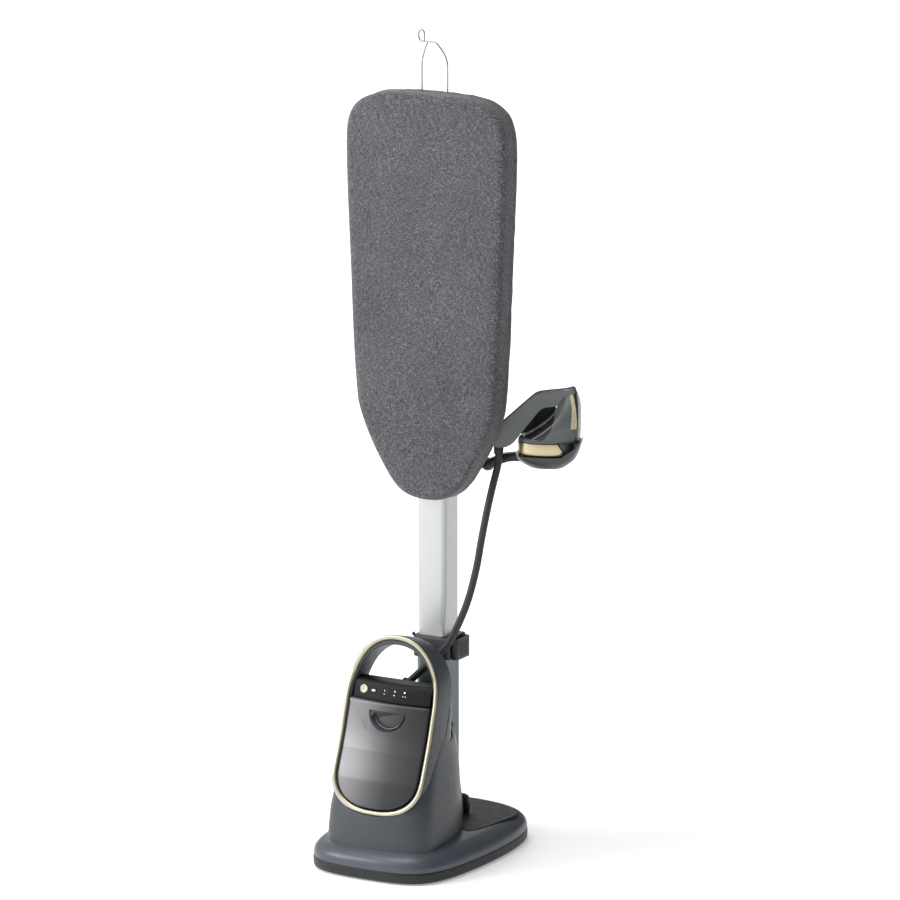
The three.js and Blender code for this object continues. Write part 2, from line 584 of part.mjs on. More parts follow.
// ---------------------------------------------------------------- hand iron and its dock
// Iron frame: v points out of the soleplate, w along the iron's width, u from heel to nose.
const ironGroup = () => {
  const group = new THREE.Group();
  group.position.set(IRON.x, IRON.y, IRON.z);
  group.rotation.z = IRON.turn;
  part.add(group);
  return group;
};

function ovalRing(v0, v1, half, u, steps = 20, power = 0.75) {
  const points = [];
  for (let i = 0; i < steps; i += 1) {
    const angle = 2 * Math.PI * i / steps;
    const c = Math.cos(angle);
    const s = Math.sin(angle);
    points.push([(v0 + v1) / 2 + (v1 - v0) / 2 * Math.sign(c) * Math.abs(c) ** power,
      half * Math.sign(s) * Math.abs(s) ** power, u]);
  }
  return points;
}

function prismW(points, half) {
  const geometry = new THREE.ExtrudeGeometry(shapeOf(points), { depth: 2 * half, bevelEnabled: false });
  return geometry.rotateX(Math.PI / 2).translate(0, half, 0);
}

function makeIron() {
  const parent = ironGroup();
  const SOLE = IRON.sole;
  const body = loft([ovalRing(-40, SOLE - 6, 42, 29), ovalRing(-34, SOLE, 50, 38), ovalRing(0, SOLE, 53, 62),
    ovalRing(30, SOLE, 48, 90), ovalRing(44, SOLE, 32, 118), ovalRing(52, SOLE, 10, 141)]);
  const ahead = box(SOLE - GAP, 120, -80, 80, -10, 220);
  add('iron_body', cut(body, ahead, box(62, 70, -70, 70, 78, 139)), IRONGREY,
    parent);
  add('side_trim', common(cut(loft([ovalRing(31, SOLE, 48.5, 90), ovalRing(44, SOLE, 32.5, 118),
    ovalRing(52, SOLE, 10.5, 141)]), box(SOLE - GAP, 120, -80, 80, 0, 220)),
    box(62.3, 69.7, -70, 70, 78, 139)),
  GOLD, parent);
  const plan = [[20, 28], [32, 36], [41, 50], [47, 70], [45, 90], [34, 118], [11, 144]];
  const sole = loft(plan.map(([half, u]) =>
    [[SOLE, -half, u], [SOLE + IRON.soleThick, -half + 4, u], [SOLE + IRON.soleThick, half - 4, u],
      [SOLE, half, u]]));
  add('soleplate', sole, STEEL, parent);
  add('heel_band', loft([ovalRing(-42, SOLE - 8, 43, 2), ovalRing(-46, SOLE - 4, 49, 12),
    ovalRing(-44, SOLE - 5, 47, 28.7)]), GOLD, parent);
  const outline = [[-103, 36], [-95, 48], [-12, 124], [0, 131], [62, 138], [76, 143], [78, 135], [50, 119],
    [34, 98], [10, 102], [2, 96], [-42, 50], [-60, 26], [-76, 18], [-98, 19]];
  const handle = cut(prismW(outline, 17), loft([ovalRing(-36, SOLE + 20, 52, 38),
    ovalRing(-2, SOLE + 20, 55, 62),
    ovalRing(28, SOLE + 20, 50, 90), ovalRing(42, SOLE + 20, 34, 118), ovalRing(50, SOLE + 20, 12, 142)]));
  const slot = box(-34, -7, -7, 7, 50, 92);
  add('iron_handle', cut(handle, slot), IRONGREY, parent);
  add('hose_boot', loft([ovalRing(-99, -79, 10, -4, 12), ovalRing(-100, -78, 11, 12, 12),
    ovalRing(-98, -80, 9, 17.5, 12)]), RUBBER, parent);
  add('steam_trigger', prismW([[-27, 60], [-12, 78], [-9, 70], [-19, 58]], 6), BLACK, parent);
}

function dockHull() {
  return loft([ovalRing(4, 40, 20, -32), ovalRing(-28, 62, 38, -24), ovalRing(-48, 80, 51, -8, 20, 0.7),
    ovalRing(-53, 92, 58, 20, 20, 0.42), ovalRing(-53, 97, 60, 52, 20, 0.38)]);
}

// Upright back rest on the rim of the dock: it leans outwards to clear the widening iron.
function makeRest() {
  const outline = [[-34, GAP], [34, GAP], [38, 12], [40, 30], [34, 74], [30, 99], [4, 98], [-6, 90],
    [-46, 42], [-45, 30],
    [-40, 12]];
  const plate = prismW(outline, 1.5);
  const place = plate.attributes.position;
  for (let i = 0; i < place.count; i += 1) {
    const u = place.getZ(i);
    const out = u < 12 ? mix(51.7, 53.5, u / 12) : mix(53.5, 57.2, Math.min(1, (u - 12) / 18));
    place.setY(i, place.getY(i) + out);
  }
  return plate;
}

function makeDock() {
  const parent = ironGroup();
  const hollow = loft([ovalRing(-40, 72, 45, -6), ovalRing(-49, 84, 52, 6, 20, 0.7),
    ovalRing(-50, 89.5, 55, 22, 20, 0.42), ovalRing(-50, 94.5, 57, 80, 20, 0.38)]);
  const slope = prismW([[-80, 0], [38, 0], [44, 8], [88, 46], [88, 120], [-80, 120]], 90);
  const away = box(-80, 20, -90, 90, 0, 120);
  add('dock_cup', cut(dockHull(), hollow, slope, away), IRONGREY, parent);
  add('dock_rest', makeRest(), DARK, parent);
  const arm = [[38, 86, 866], [70, 97, 866], [101, 102, 868], [126, 107, 879], [152, 110, 888],
    [182, 113, 890]];
  const bracket = prismZ(roundedRect(0, POLE.y, POLE.w + 20, POLE.d + 20, 18), 848, 884);
  const hole = prismZ(roundedRect(0, POLE.y, POLE.w + 0.8, POLE.d + 0.8, POLE.r), 840, 900);
  const knob = new THREE.SphereGeometry(15, 12, 8).translate(101, 102, 867);
  const front = box(-60, 60, -30, 24, 800, 900);
  const clear = dockHull().scale(1.01, 1.01, 1.01).rotateZ(IRON.turn).translate(IRON.x, IRON.y, IRON.z);
  add('dock_arm', cut(join(cut(bracket, hole, front), tube(arm, 11, 10, 8), knob), hole, clear), DARK);
}

// ---------------------------------------------------------------- hose
// One route from the port on the housing to the boot on the iron, cut once where the mast's share begins.
function makeHose() {
  const route = new THREE.CatmullRomCurve3(HOSE_ROUTE.map((p) => new THREE.Vector3(...p)));
  const half = 0.5 * GAP / route.getLength();
  const stretch = (from, to) => {
    const points = [];
    for (let i = 0; i <= HOSE.steps; i += 1) {
      points.push(route.getPointAt(mix(from, to, i / HOSE.steps)).toArray());
    }
    return tube(points, HOSE.r, HOSE.sides, HOSE.steps);
  };
  add('hose_lower', stretch(0, HOSE.split - 2 * half), RUBBER);
  add('hose_upper', stretch(HOSE.split + 2 * half, 1), RUBBER);
}

makeBase();
makeHoop();
makeHousing();
makePanel();
makeWorks();
makeTank(part);
makeStandPole();
makeLever(part);
makeMast();
makeBoard();
makeHook();
makeIron();
makeDock();
makeHose();

export default part;
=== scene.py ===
import json
import math

import bmesh
import bpy
from mathutils import Matrix, Vector, noise

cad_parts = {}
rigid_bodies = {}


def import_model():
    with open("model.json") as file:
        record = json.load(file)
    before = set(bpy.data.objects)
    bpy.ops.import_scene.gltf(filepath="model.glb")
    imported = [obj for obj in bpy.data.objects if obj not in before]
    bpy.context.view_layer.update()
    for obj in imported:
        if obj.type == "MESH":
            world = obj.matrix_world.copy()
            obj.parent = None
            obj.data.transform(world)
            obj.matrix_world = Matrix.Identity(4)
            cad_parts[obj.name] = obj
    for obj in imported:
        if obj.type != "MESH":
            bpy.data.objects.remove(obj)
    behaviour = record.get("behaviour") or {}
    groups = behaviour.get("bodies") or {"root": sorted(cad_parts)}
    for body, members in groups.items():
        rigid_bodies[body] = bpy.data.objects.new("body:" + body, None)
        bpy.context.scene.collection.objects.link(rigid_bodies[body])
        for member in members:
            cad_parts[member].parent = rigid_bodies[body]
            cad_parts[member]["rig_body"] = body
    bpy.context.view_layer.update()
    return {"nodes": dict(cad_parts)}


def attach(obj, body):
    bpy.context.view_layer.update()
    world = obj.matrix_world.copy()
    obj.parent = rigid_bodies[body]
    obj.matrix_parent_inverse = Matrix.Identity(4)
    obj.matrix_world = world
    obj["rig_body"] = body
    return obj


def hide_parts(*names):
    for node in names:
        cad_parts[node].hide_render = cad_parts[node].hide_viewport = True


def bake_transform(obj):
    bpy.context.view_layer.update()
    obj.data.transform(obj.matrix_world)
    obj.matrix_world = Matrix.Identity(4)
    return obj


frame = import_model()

# ---------------------------------------------------------------- dimensions, millimetres
MM = 0.001
GAP = 0.3
BASE_HALF = [(0, -278), (116, -278), (158, -264), (176, -145), (187, -55), (189, 64), (171, 140),
             (158, 206), (122, 254), (0, 256)]
COVER_PROFILE = [(1, 27.3), (1.2, 32), (1.5, 38), (5, 47), (14, 56), (29, 63), (44, 65.8), (61, 67), (75, 67)]
DECK_HALF = [(0, -14), (94, -14), (112, -24), (124, -30), (133, -22), (139, 2), (150, 72), (155, 125),
             (154, 156), (143, 174), (106, 196), (60, 211), (0, 216)]
DECK_FLOOR = 64.4
COVER_TOP = 67
LEAN = [(60, -234), (134, -227), (208, -205), (260, -184), (300, -169), (340, -157), (372, -147),
        (430, -129), (470, -123), (520, -118)]
HOOP_HALF, HOOP_LOW, HOOP_MID, HOOP_HIGH, HOOP_TOP = 116, 135, 228, 366, 516
HOOP_FOOT, HOOP_POWER = 2.5, 2.2
HOOP_DEPTH, HOOP_SIDE, HOOP_GRIP, HOOP_FALL = 62, 14, 22, 16
TRIM_WIDTH, TRIM_THICK = 12, 5
TANK_ROOF, TANK_BACK = 370, -98
PANEL_FLOOR, PANEL_ROOF, PANEL_BACK, PANEL_TILT = 371.5, 412, -100, math.radians(17.2)
POLE_Y, POLE_W, POLE_D, POLE_R = 58.5, 72, 64, 12
COLLAR = dict(floor=434, top=483, left=-44, right=52, front=17, back=100, outer_top=470)
LEVER_X, LEVER_Y, LEVER_REACH, LEVER_DEPTH, LEVER_WALL = 52.6, 24, 15, 60, 4
BOARD_FRONT, BOARD_BACK = -5, 53
BOARD_HALF = [(0, 793), (46, 793), (70, 806), (94, 840), (122, 880), (160, 945), (173, 1001), (183, 1080),
              (187, 1200), (190, 1290), (195, 1400), (202, 1520), (200, 1590), (198, 1655), (170, 1682),
              (90, 1689), (60, 1691), (30, 1692), (0, 1692)]
BOARD_SPINE = (920, 1560)
HINGE_Y, HINGE_Z = 40, 1135
HOOK_Y, HOOK_R, HOOK_X = 45, 1.8, 32
IRON_PLACE, IRON_TURN = (225, 110, 904), math.radians(24)
SOLE, SOLE_THICK = 81, 7
BODY_STATIONS = [(-40, 84, 43, 29), (-34, 98, 50, 38), (0, 102, 53, 62), (30, 102, 48, 90), (44, 100, 32, 118),
                 (52, 94, 10, 141)]
SOLE_STATIONS = [(20, 28), (32, 36), (41, 50), (47, 70), (45, 90), (34, 118), (11, 144)]
HANDLE_OUTLINE = [(-103, 36), (-95, 48), (-12, 124), (0, 131), (62, 138), (74, 143), (74, 135), (56, 122),
                  (36, 112), (12, 110), (-2, 102), (-42, 50), (-60, 26), (-76, 18), (-98, 19)]
HOSE_R, HOSE_SPLIT = 8, 0.45
SKY_DIM, SKY_BRIGHT, FLOOR_GLOW = 0.12, 0.85, 0.3
HOSE_ROUTE = [(-44, 3, 376), (-36.8, 3, 382.9), (-22, 3, 397), (0, 2, 417), (16, 1, 432), (37, 0, 453),
              (61, 0, 481), (80, 7, 521), (99, 17, 576), (115, 26, 648), (125, 33, 718), (134, 44, 786),
              (139.5, 58, 836), (142.8, 69, 868), (143.7, 73.4, 884), (143.7, 73.8, 892), (143.7, 73.8, 899.4)]


# ---------------------------------------------------------------- outlines and curves
def mix(a, b, t):
    return a + (b - a) * t


def mirrored_bezier(chain, steps):
    """Closed outline from the right half, given as a chain of cubic Bezier pieces."""
    half = []
    for i in range(0, len(chain) - 3, 3):
        a, b, c, d = chain[i:i + 4]
        for s in range(steps):
            t = s / steps
            u = 1 - t
            half.append(tuple(u ** 3 * a[k] + 3 * u * u * t * b[k] + 3 * u * t * t * c[k] + t ** 3 * d[k]
                              for k in (0, 1)))
    half.append(tuple(chain[-1]))
    return half + [(-x, y) for x, y in reversed(half[1:-1])]


def inset(points, distance):
    """The same loop moved inwards along its own normals."""
    n = len(points)
    out = []
    for i, (x, y) in enumerate(points):
        ax, ay = points[(i - 1) % n]
        bx, by = points[(i + 1) % n]
        length = math.hypot(bx - ax, by - ay) or 1
        out.append((x - distance * (by - ay) / length, y + distance * (bx - ax) / length))
    return out


def smooth_loop(points, rounds=2, share=0.22):
    """Corner cutting, so that a polygon's corners turn round."""
    for _ in range(rounds):
        out = []
        n = len(points)
        for i in range(n):
            a = points[i]
            b = points[(i + 1) % n]
            out.append(tuple(mix(a[k], b[k], share) for k in range(len(a))))
            out.append(tuple(mix(a[k], b[k], 1 - share) for k in range(len(a))))
        points = out
    return points


def rounded_rect(cx, cy, w, d, r, steps=8):
    points = []
    for corner in range(4):
        sx = 1 if corner in (0, 3) else -1
        sy = 1 if corner < 2 else -1
        for i in range(steps + 1):
            angle = (corner + i / steps) * math.pi / 2
            points.append((cx + sx * (w / 2 - r) + r * math.cos(angle), cy + sy * (d / 2 - r) + r * math.sin(angle)))
    return points


def spline(stations, count):
    """Catmull-Rom through tuples of numbers, at even steps of the station number."""
    out = []
    last = len(stations) - 1
    for i in range(count + 1):
        at = i / count * last
        k = min(int(at), last - 1)
        t = at - k
        p0 = stations[max(k - 1, 0)]
        p1 = stations[k]
        p2 = stations[k + 1]
        p3 = stations[min(k + 2, last)]
        out.append(tuple(
            0.5 * (2 * b + (c - a) * t + (2 * a - 5 * b + 4 * c - d) * t * t + (3 * b - a - 3 * c + d) * t ** 3)
            for a, b, c, d in zip(p0, p1, p2, p3)))
    return out


def lean(z):
    for (z0, y0), (z1, y1) in zip(LEAN, LEAN[1:]):
        if z <= z1:
            return mix(y0, y1, max(0, (z - z0) / (z1 - z0)))
    return LEAN[-1][1]


def hoop_outline(side, top, steps=40):
    half = HOOP_HALF - side
    points = []
    for i in range(steps):
        angle = -math.pi / 2 + i / steps * math.pi / 2
        points.append((half * abs(math.cos(angle)) ** (2 / HOOP_FOOT),
                       HOOP_MID - (HOOP_MID - HOOP_LOW - side) * abs(math.sin(angle)) ** (2 / HOOP_FOOT)))
    points += [(half, mix(HOOP_MID, HOOP_HIGH, i / 6)) for i in range(6)]
    rise = HOOP_TOP - HOOP_HIGH - top
    for i in range(steps + 1):
        angle = i / steps * math.pi / 2
        points.append((half * abs(math.cos(angle)) ** (2 / HOOP_POWER),
                       HOOP_HIGH + rise * math.sin(angle) ** (2 / HOOP_POWER)))
    points[-1] = (0, points[-1][1])
    return points + [(-x, z) for x, z in reversed(points[1:-1])]


def grip_half(z):
    """Inner half width of the hoop at a height."""
    t = max(0, (z - HOOP_HIGH) / (HOOP_TOP - HOOP_HIGH - HOOP_GRIP))
    return (HOOP_HALF - HOOP_SIDE) * (1 - t ** HOOP_POWER) ** (1 / HOOP_POWER)


def teardrop(front, half, waist, tail, end, z, distance=0):
    """Plan of the housing: front edge, half width, waist point, and the half width and end of its tail."""
    back = end - tail * 0.7
    chain = [(0, front), (half * 0.62, front + 1), (half, front + 12), (half, front + 56),
             (half, waist[1] - 30), waist, (tail, back), (tail - 1, end - 6), (tail * 0.7, end), (0, end)]
    return [(x, y, z) for x, y in inset(mirrored_bezier(chain, 18), distance)]


def oval_ring(v0, v1, half, u, steps=56, power=0.75):
    points = []
    for i in range(steps):
        angle = 2 * math.pi * i / steps
        c = math.cos(angle)
        s = math.sin(angle)
        v = (v0 + v1) / 2 + (v1 - v0) / 2 * math.copysign(abs(c) ** power, c)
        points.append((v, half * math.copysign(abs(s) ** power, s), u))
    return points


def level(points, z):
    return [(x, y, z) for x, y in points]


def board_ring(distance, y, steps=14):
    return [(x, y, z) for x, z in inset(mirrored_bezier(BOARD_HALF, steps), distance)]


def panel_face(x, z):
    """How far forward the control panel's face stands."""
    half = grip_half(PANEL_ROOF) - 1
    return lean(z) + 2 - 9 * (1 - (x / half) ** 2)


def iron_frame(points):
    """From the hand iron's own frame to the object's."""
    c = math.cos(IRON_TURN)
    s = math.sin(IRON_TURN)
    x0, y0, z0 = IRON_PLACE
    return [(x0 + v * c - w * s, y0 + v * s + w * c, z0 + u) for v, w, u in points]


# ---------------------------------------------------------------- shells: (points, faces)
def loft(rings, caps=True):
    n = len(rings[0])
    points = [p for ring in rings for p in ring]
    faces = []
    for r in range(len(rings) - 1):
        for i in range(n):
            a = r * n + i
            b = r * n + (i + 1) % n
            faces.append((a, b, b + n, a + n))
    if caps:
        faces.append(tuple(reversed(range(n))))
        faces.append(tuple(range(len(points) - n, len(points))))
    return points, faces


def loft_round(rings):
    n = len(rings[0])
    total = len(rings)
    faces = []
    for r in range(total):
        for i in range(n):
            j = (i + 1) % n
            s = (r + 1) % total
            faces.append((r * n + i, r * n + j, s * n + j, s * n + i))
    return [p for ring in rings for p in ring], faces


def prism(points, axis, low, high):
    """Prism of a flat outline along one axis: 'z' takes (x, y) points and 'y' takes (x, z) points."""
    if axis == "z":
        return loft([[(x, y, low) for x, y in points], [(x, y, high) for x, y in points]])
    return loft([[(x, low, z) for x, z in points], [(x, high, z) for x, z in points]])


def prism_w(outline, half, rounding=0.0, steps=5):
    """Prism across the hand iron's width, with its two long edges rounded."""
    if not rounding:
        return loft([[(v, -half, u) for v, u in outline], [(v, half, u) for v, u in outline]])
    rings = []
    for side in (-1, 1):
        order = range(steps + 1) if side < 0 else range(steps, -1, -1)
        for i in order:
            angle = i / steps * math.pi / 2
            shift = rounding * (1 - math.sin(angle))
            w = side * (half - rounding * (1 - math.cos(angle)))
            rings.append([(v, w, u) for v, u in inset(outline, shift)])
    return loft(rings)


def box(x0, x1, y0, y1, z0, z1):
    return loft([[(x0, y0, z0), (x1, y0, z0), (x1, y1, z0), (x0, y1, z0)],
                 [(x0, y0, z1), (x1, y0, z1), (x1, y1, z1), (x0, y1, z1)]])


def tube_along(points, radius, sides=14, fluting=0.0, grooves=4):
    """Round tube that follows points, with even grooves along it where fluting is above 0."""
    centres = [Vector(p) for p in points]
    rings = []
    normal = None
    for i, p in enumerate(centres):
        ahead = centres[min(i + 1, len(centres) - 1)] - centres[max(i - 1, 0)]
        ahead.normalize()
        if normal is None:
            normal = ahead.orthogonal().normalized()
        normal = (normal - ahead * normal.dot(ahead)).normalized()
        across = ahead.cross(normal)
        ring = []
        for k in range(sides):
            angle = 2 * math.pi * k / sides
            r = radius * (1 - fluting * max(0, math.cos(grooves * angle)) ** 6)
            ring.append(tuple(p + normal * (r * math.cos(angle)) + across * (r * math.sin(angle))))
        rings.append(ring)
    return loft(rings)


def rod(a, b, radius, sides=24, round_end=0.0):
    """Cylinder from a to b, its ends turned in by round_end."""
    a = Vector(a)
    b = Vector(b)
    ahead = (b - a).normalized()
    side = ahead.orthogonal().normalized()
    across = ahead.cross(side)
    stops = [(0, radius - round_end), (round_end, radius), ((b - a).length - round_end, radius),
             ((b - a).length, radius - round_end)] if round_end else [(0, radius), ((b - a).length, radius)]
    rings = []
    for along, r in stops:
        centre = a + ahead * along
        rings.append([tuple(centre + side * (r * math.cos(2 * math.pi * k / sides))
                            + across * (r * math.sin(2 * math.pi * k / sides))) for k in range(sides)])
    return loft(rings)


def domed(outline, spine, skin, levels, fill, back):
    """Panel in X and Z with a rolled edge and a skin(x, z) face, closed flat at the back."""
    rings = [[(x, back, z) for x, z in outline]]
    for distance, drop in levels:
        rings.append([(x, skin(x, z) + drop, z) for x, z in inset(outline, distance)])
    edge = [(x, z) for x, _, z in rings[-1]]
    for step in range(1, fill + 1):
        t = step / fill * 0.97
        ring = []
        for x, z in edge:
            middle = min(max(z, spine[0]), spine[1])
            px = x * (1 - t)
            pz = mix(z, middle, t)
            ring.append((px, skin(px, pz), pz))
        rings.append(ring)
    return loft(rings)


def moved(shell, offset):
    points, faces = shell
    return [tuple(p[k] + offset[k] for k in range(3)) for p in points], faces


def in_iron(shell):
    return iron_frame(shell[0]), shell[1]


# ---------------------------------------------------------------- objects
def mesh_of(name, shells):
    """A mesh from one or more shells in millimetres, with its faces turned outwards."""
    points = []
    faces = []
    for shell_points, shell_faces in shells:
        start = len(points)
        points += [tuple(c * MM for c in p) for p in shell_points]
        faces += [tuple(start + k for k in face) for face in shell_faces]
    mesh = bpy.data.meshes.new(name)
    mesh.from_pydata(points, [], faces)
    work = bmesh.new()
    work.from_mesh(mesh)
    bmesh.ops.remove_doubles(work, verts=work.verts, dist=1e-7)
    bmesh.ops.recalc_face_normals(work, faces=work.faces)
    work.to_mesh(mesh)
    work.free()
    return mesh


def link(name, mesh):
    obj = bpy.data.objects.new(name, mesh)
    bpy.context.scene.collection.objects.link(obj)
    return obj


def carve(obj, shells, operation="DIFFERENCE"):
    """Cuts or adds the shells, one after another."""
    for shell in shells:
        tool = link("tool", mesh_of("tool", [shell]))
        modifier = obj.modifiers.new("carve", "BOOLEAN")
        modifier.operation = operation
        modifier.solver = "MANIFOLD"
        modifier.object = tool
        bake(obj)
        bpy.data.objects.remove(tool)


def bake(obj):
    """Applies every modifier on the object."""
    graph = bpy.context.evaluated_depsgraph_get()
    mesh = bpy.data.meshes.new_from_object(obj.evaluated_get(graph))
    obj.modifiers.clear()
    obj.data = mesh


def shade(obj, material, angle=32):
    obj.data.materials.clear()
    obj.data.materials.append(material)
    for polygon in obj.data.polygons:
        polygon.use_smooth = True
    obj.data.set_sharp_from_angle(angle=math.radians(angle))


def edge_round(obj, width, segments=2, angle=35):
    """Rounds every edge sharper than an angle, the width given in millimetres."""
    modifier = obj.modifiers.new("round", "BEVEL")
    modifier.width = width * MM
    modifier.segments = segments
    modifier.limit_method = "ANGLE"
    modifier.angle_limit = math.radians(angle)
    modifier.use_clamp_overlap = True
    bake(obj)


def settle(obj, material, body, stands_for=(), angle=32):
    """Finishes a piece: smooth shading, material, body and the CAD nodes it stands for."""
    shade(obj, material, angle)
    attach(obj, body)
    if stands_for:
        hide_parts(*stands_for)
    return obj


def piece(name, shells, material, body, stands_for=(), rounding=0.0, segments=2, angle=32):
    obj = link(name, mesh_of(name, shells))
    if rounding:
        edge_round(obj, rounding, segments)
    return settle(obj, material, body, stands_for, angle)


def refine(node, material, rounding=0.5, segments=2, angle=32):
    """A CAD node rebuilt with its flat facets joined up, its edges rounded and a finished surface."""
    source = frame["nodes"][node]
    obj = link(node + "_fine", source.data.copy())
    work = bmesh.new()
    work.from_mesh(obj.data)
    bmesh.ops.remove_doubles(work, verts=work.verts, dist=2e-6)
    bmesh.ops.dissolve_limit(work, angle_limit=math.radians(1), verts=work.verts, edges=work.edges)
    work.to_mesh(obj.data)
    work.free()
    if rounding:
        edge_round(obj, rounding, segments)
    return settle(obj, material, source["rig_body"], [node], angle)


# ---------------------------------------------------------------- material helpers
def new_material(name, color, roughness, metallic=0.0):
    material = bpy.data.materials.new(name)
    material.use_nodes = True
    shader = material.node_tree.nodes["Principled BSDF"]
    shader.inputs["Base Color"].default_value = (*color, 1)
    shader.inputs["Roughness"].default_value = roughness
    shader.inputs["Metallic"].default_value = metallic
    return material, material.node_tree.nodes, material.node_tree.links, shader


def coordinates(nodes, links, scale=(1, 1, 1)):
    """Object coordinates, stretched by a scale per axis."""
    place = nodes.new("ShaderNodeTexCoord")
    mapping = nodes.new("ShaderNodeMapping")
    mapping.inputs["Scale"].default_value = scale
    links.new(place.outputs["Object"], mapping.inputs["Vector"])
    return mapping.outputs["Vector"]


def noise_map(nodes, links, vector, scale, detail=3.0, roughness=0.5):
    texture = nodes.new("ShaderNodeTexNoise")
    texture.inputs["Scale"].default_value = scale
    texture.inputs["Detail"].default_value = detail
    texture.inputs["Roughness"].default_value = roughness
    links.new(vector, texture.inputs["Vector"])
    return texture.outputs["Fac"]


def ramp(nodes, links, value, stops, colors):
    node = nodes.new("ShaderNodeValToRGB")
    elements = node.color_ramp.elements
    while len(elements) < len(stops):
        elements.new(0.5)
    for element, stop, color in zip(elements, stops, colors):
        element.position = stop
        element.color = (*color, 1) if len(color) == 3 else color
    links.new(value, node.inputs["Fac"])
    return node.outputs["Color"]


def spread(nodes, links, value, low, high, from_low=0.3, from_high=0.7):
    node = nodes.new("ShaderNodeMapRange")
    node.inputs["From Min"].default_value = from_low
    node.inputs["From Max"].default_value = from_high
    node.inputs["To Min"].default_value = low
    node.inputs["To Max"].default_value = high
    links.new(value, node.inputs["Value"])
    return node.outputs["Result"]


def blend_colors(nodes, links, kind, factor, a, b):
    """Mixes two colours, each a socket or a plain colour."""
    node = nodes.new("ShaderNodeMix")
    node.data_type = "RGBA"
    node.blend_type = kind
    for socket, value in ((node.inputs[0], factor), (node.inputs[6], a), (node.inputs[7], b)):
        if isinstance(value, bpy.types.NodeSocket):
            links.new(value, socket)
        else:
            socket.default_value = value if isinstance(value, float) else (*value, 1)
    return node.outputs[2]


def bump(nodes, links, shader, value, strength, distance, before=None):
    node = nodes.new("ShaderNodeBump")
    node.inputs["Strength"].default_value = strength
    node.inputs["Distance"].default_value = distance
    links.new(value, node.inputs["Height"])
    if before:
        links.new(before, node.inputs["Normal"])
    links.new(node.outputs["Normal"], shader.inputs["Normal"])
    return node.outputs["Normal"]


def darker(color, factor):
    return tuple(c * factor for c in color)


def moulded(name, color, roughness, grain=0.12, coat=0.0, spread_of_gloss=0.07, tint=0.08):
    """Injection-moulded plastic: slow colour drift, fine grain and uneven gloss."""
    material, nodes, links, shader = new_material(name, color, roughness)
    place = coordinates(nodes, links)
    drift = noise_map(nodes, links, place, 9, 4)
    links.new(ramp(nodes, links, drift, (0.3, 0.7), (darker(color, 1 - tint), darker(color, 1 + tint))),
              shader.inputs["Base Color"])
    smear = noise_map(nodes, links, place, 70, 5, 0.6)
    links.new(spread(nodes, links, smear, roughness - spread_of_gloss, roughness + spread_of_gloss),
              shader.inputs["Roughness"])
    fine = noise_map(nodes, links, place, 2600, 2)
    bump(nodes, links, shader, fine, grain, 0.00012)
    shader.inputs["Coat Weight"].default_value = coat
    shader.inputs["Coat Roughness"].default_value = 0.08
    return material


def drawn_metal(name, color, roughness, stretch, streak=0.1, depth=0.00004):
    """Metal with fine lines along one axis; stretch is the texture's scale per axis."""
    material, nodes, links, shader = new_material(name, color, roughness, 1.0)
    place = coordinates(nodes, links, stretch)
    lines = noise_map(nodes, links, place, 1.0, 6, 0.65)
    links.new(ramp(nodes, links, lines, (0.3, 0.7), (darker(color, 1 - streak), darker(color, 1 + streak))),
              shader.inputs["Base Color"])
    links.new(spread(nodes, links, lines, roughness - 0.07, roughness + 0.09), shader.inputs["Roughness"])
    bump(nodes, links, shader, lines, 0.25, depth)
    return material


# ---------------------------------------------------------------- the materials
def rgb(code):
    """Linear colour from a screen colour such as 0x4e545c."""
    parts = [(code >> shift & 255) / 255 for shift in (16, 8, 0)]
    return tuple(p / 12.92 if p <= 0.04045 else ((p + 0.055) / 1.055) ** 2.4 for p in parts)


def fabric_material():
    """Grey melange cotton: crossed yarns, pale and dark flecks, a soft nap."""
    base = rgb(0x454448)
    material, nodes, links, shader = new_material("cover_cloth", base, 0.92)
    along_x = noise_map(nodes, links, coordinates(nodes, links, (120, 160, 760)), 1, 3, 0.6)
    along_z = noise_map(nodes, links, coordinates(nodes, links, (760, 700, 130)), 1, 3, 0.6)
    flecks_x = ramp(nodes, links, along_x, (0.34, 0.5, 0.68), (darker(base, 0.36), base, rgb(0x8f8e92)))
    flecks_z = ramp(nodes, links, along_z, (0.34, 0.5, 0.68), (darker(base, 0.34), base, rgb(0x87868b)))
    woven = blend_colors(nodes, links, "MIX", 0.5, flecks_x, flecks_z)
    cloudy = noise_map(nodes, links, coordinates(nodes, links), 7, 3)
    shaded = ramp(nodes, links, cloudy, (0.3, 0.7), ((0.88, 0.88, 0.89), (1.1, 1.1, 1.1)))
    links.new(blend_colors(nodes, links, "MULTIPLY", 1.0, woven, shaded), shader.inputs["Base Color"])
    yarn = nodes.new("ShaderNodeTexWave")
    yarn.wave_type = "BANDS"
    yarn.bands_direction = "X"
    yarn.inputs["Scale"].default_value = 420
    yarn.inputs["Distortion"].default_value = 1.4
    yarn.inputs["Detail"].default_value = 2
    weft = nodes.new("ShaderNodeTexWave")
    weft.wave_type = "BANDS"
    weft.bands_direction = "Z"
    weft.inputs["Scale"].default_value = 420
    weft.inputs["Distortion"].default_value = 1.4
    weft.inputs["Detail"].default_value = 2
    place = coordinates(nodes, links)
    links.new(place, yarn.inputs["Vector"])
    links.new(place, weft.inputs["Vector"])
    weave = nodes.new("ShaderNodeMath")
    weave.operation = "MAXIMUM"
    links.new(yarn.outputs["Fac"], weave.inputs[0])
    links.new(weft.outputs["Fac"], weave.inputs[1])
    first = bump(nodes, links, shader, weave.outputs[0], 0.5, 0.0003)
    bump(nodes, links, shader, along_x, 0.35, 0.0006, first)
    shader.inputs["Sheen Weight"].default_value = 0.25
    shader.inputs["Sheen Roughness"].default_value = 0.5
    shader.inputs["Specular IOR Level"].default_value = 0.2
    return material


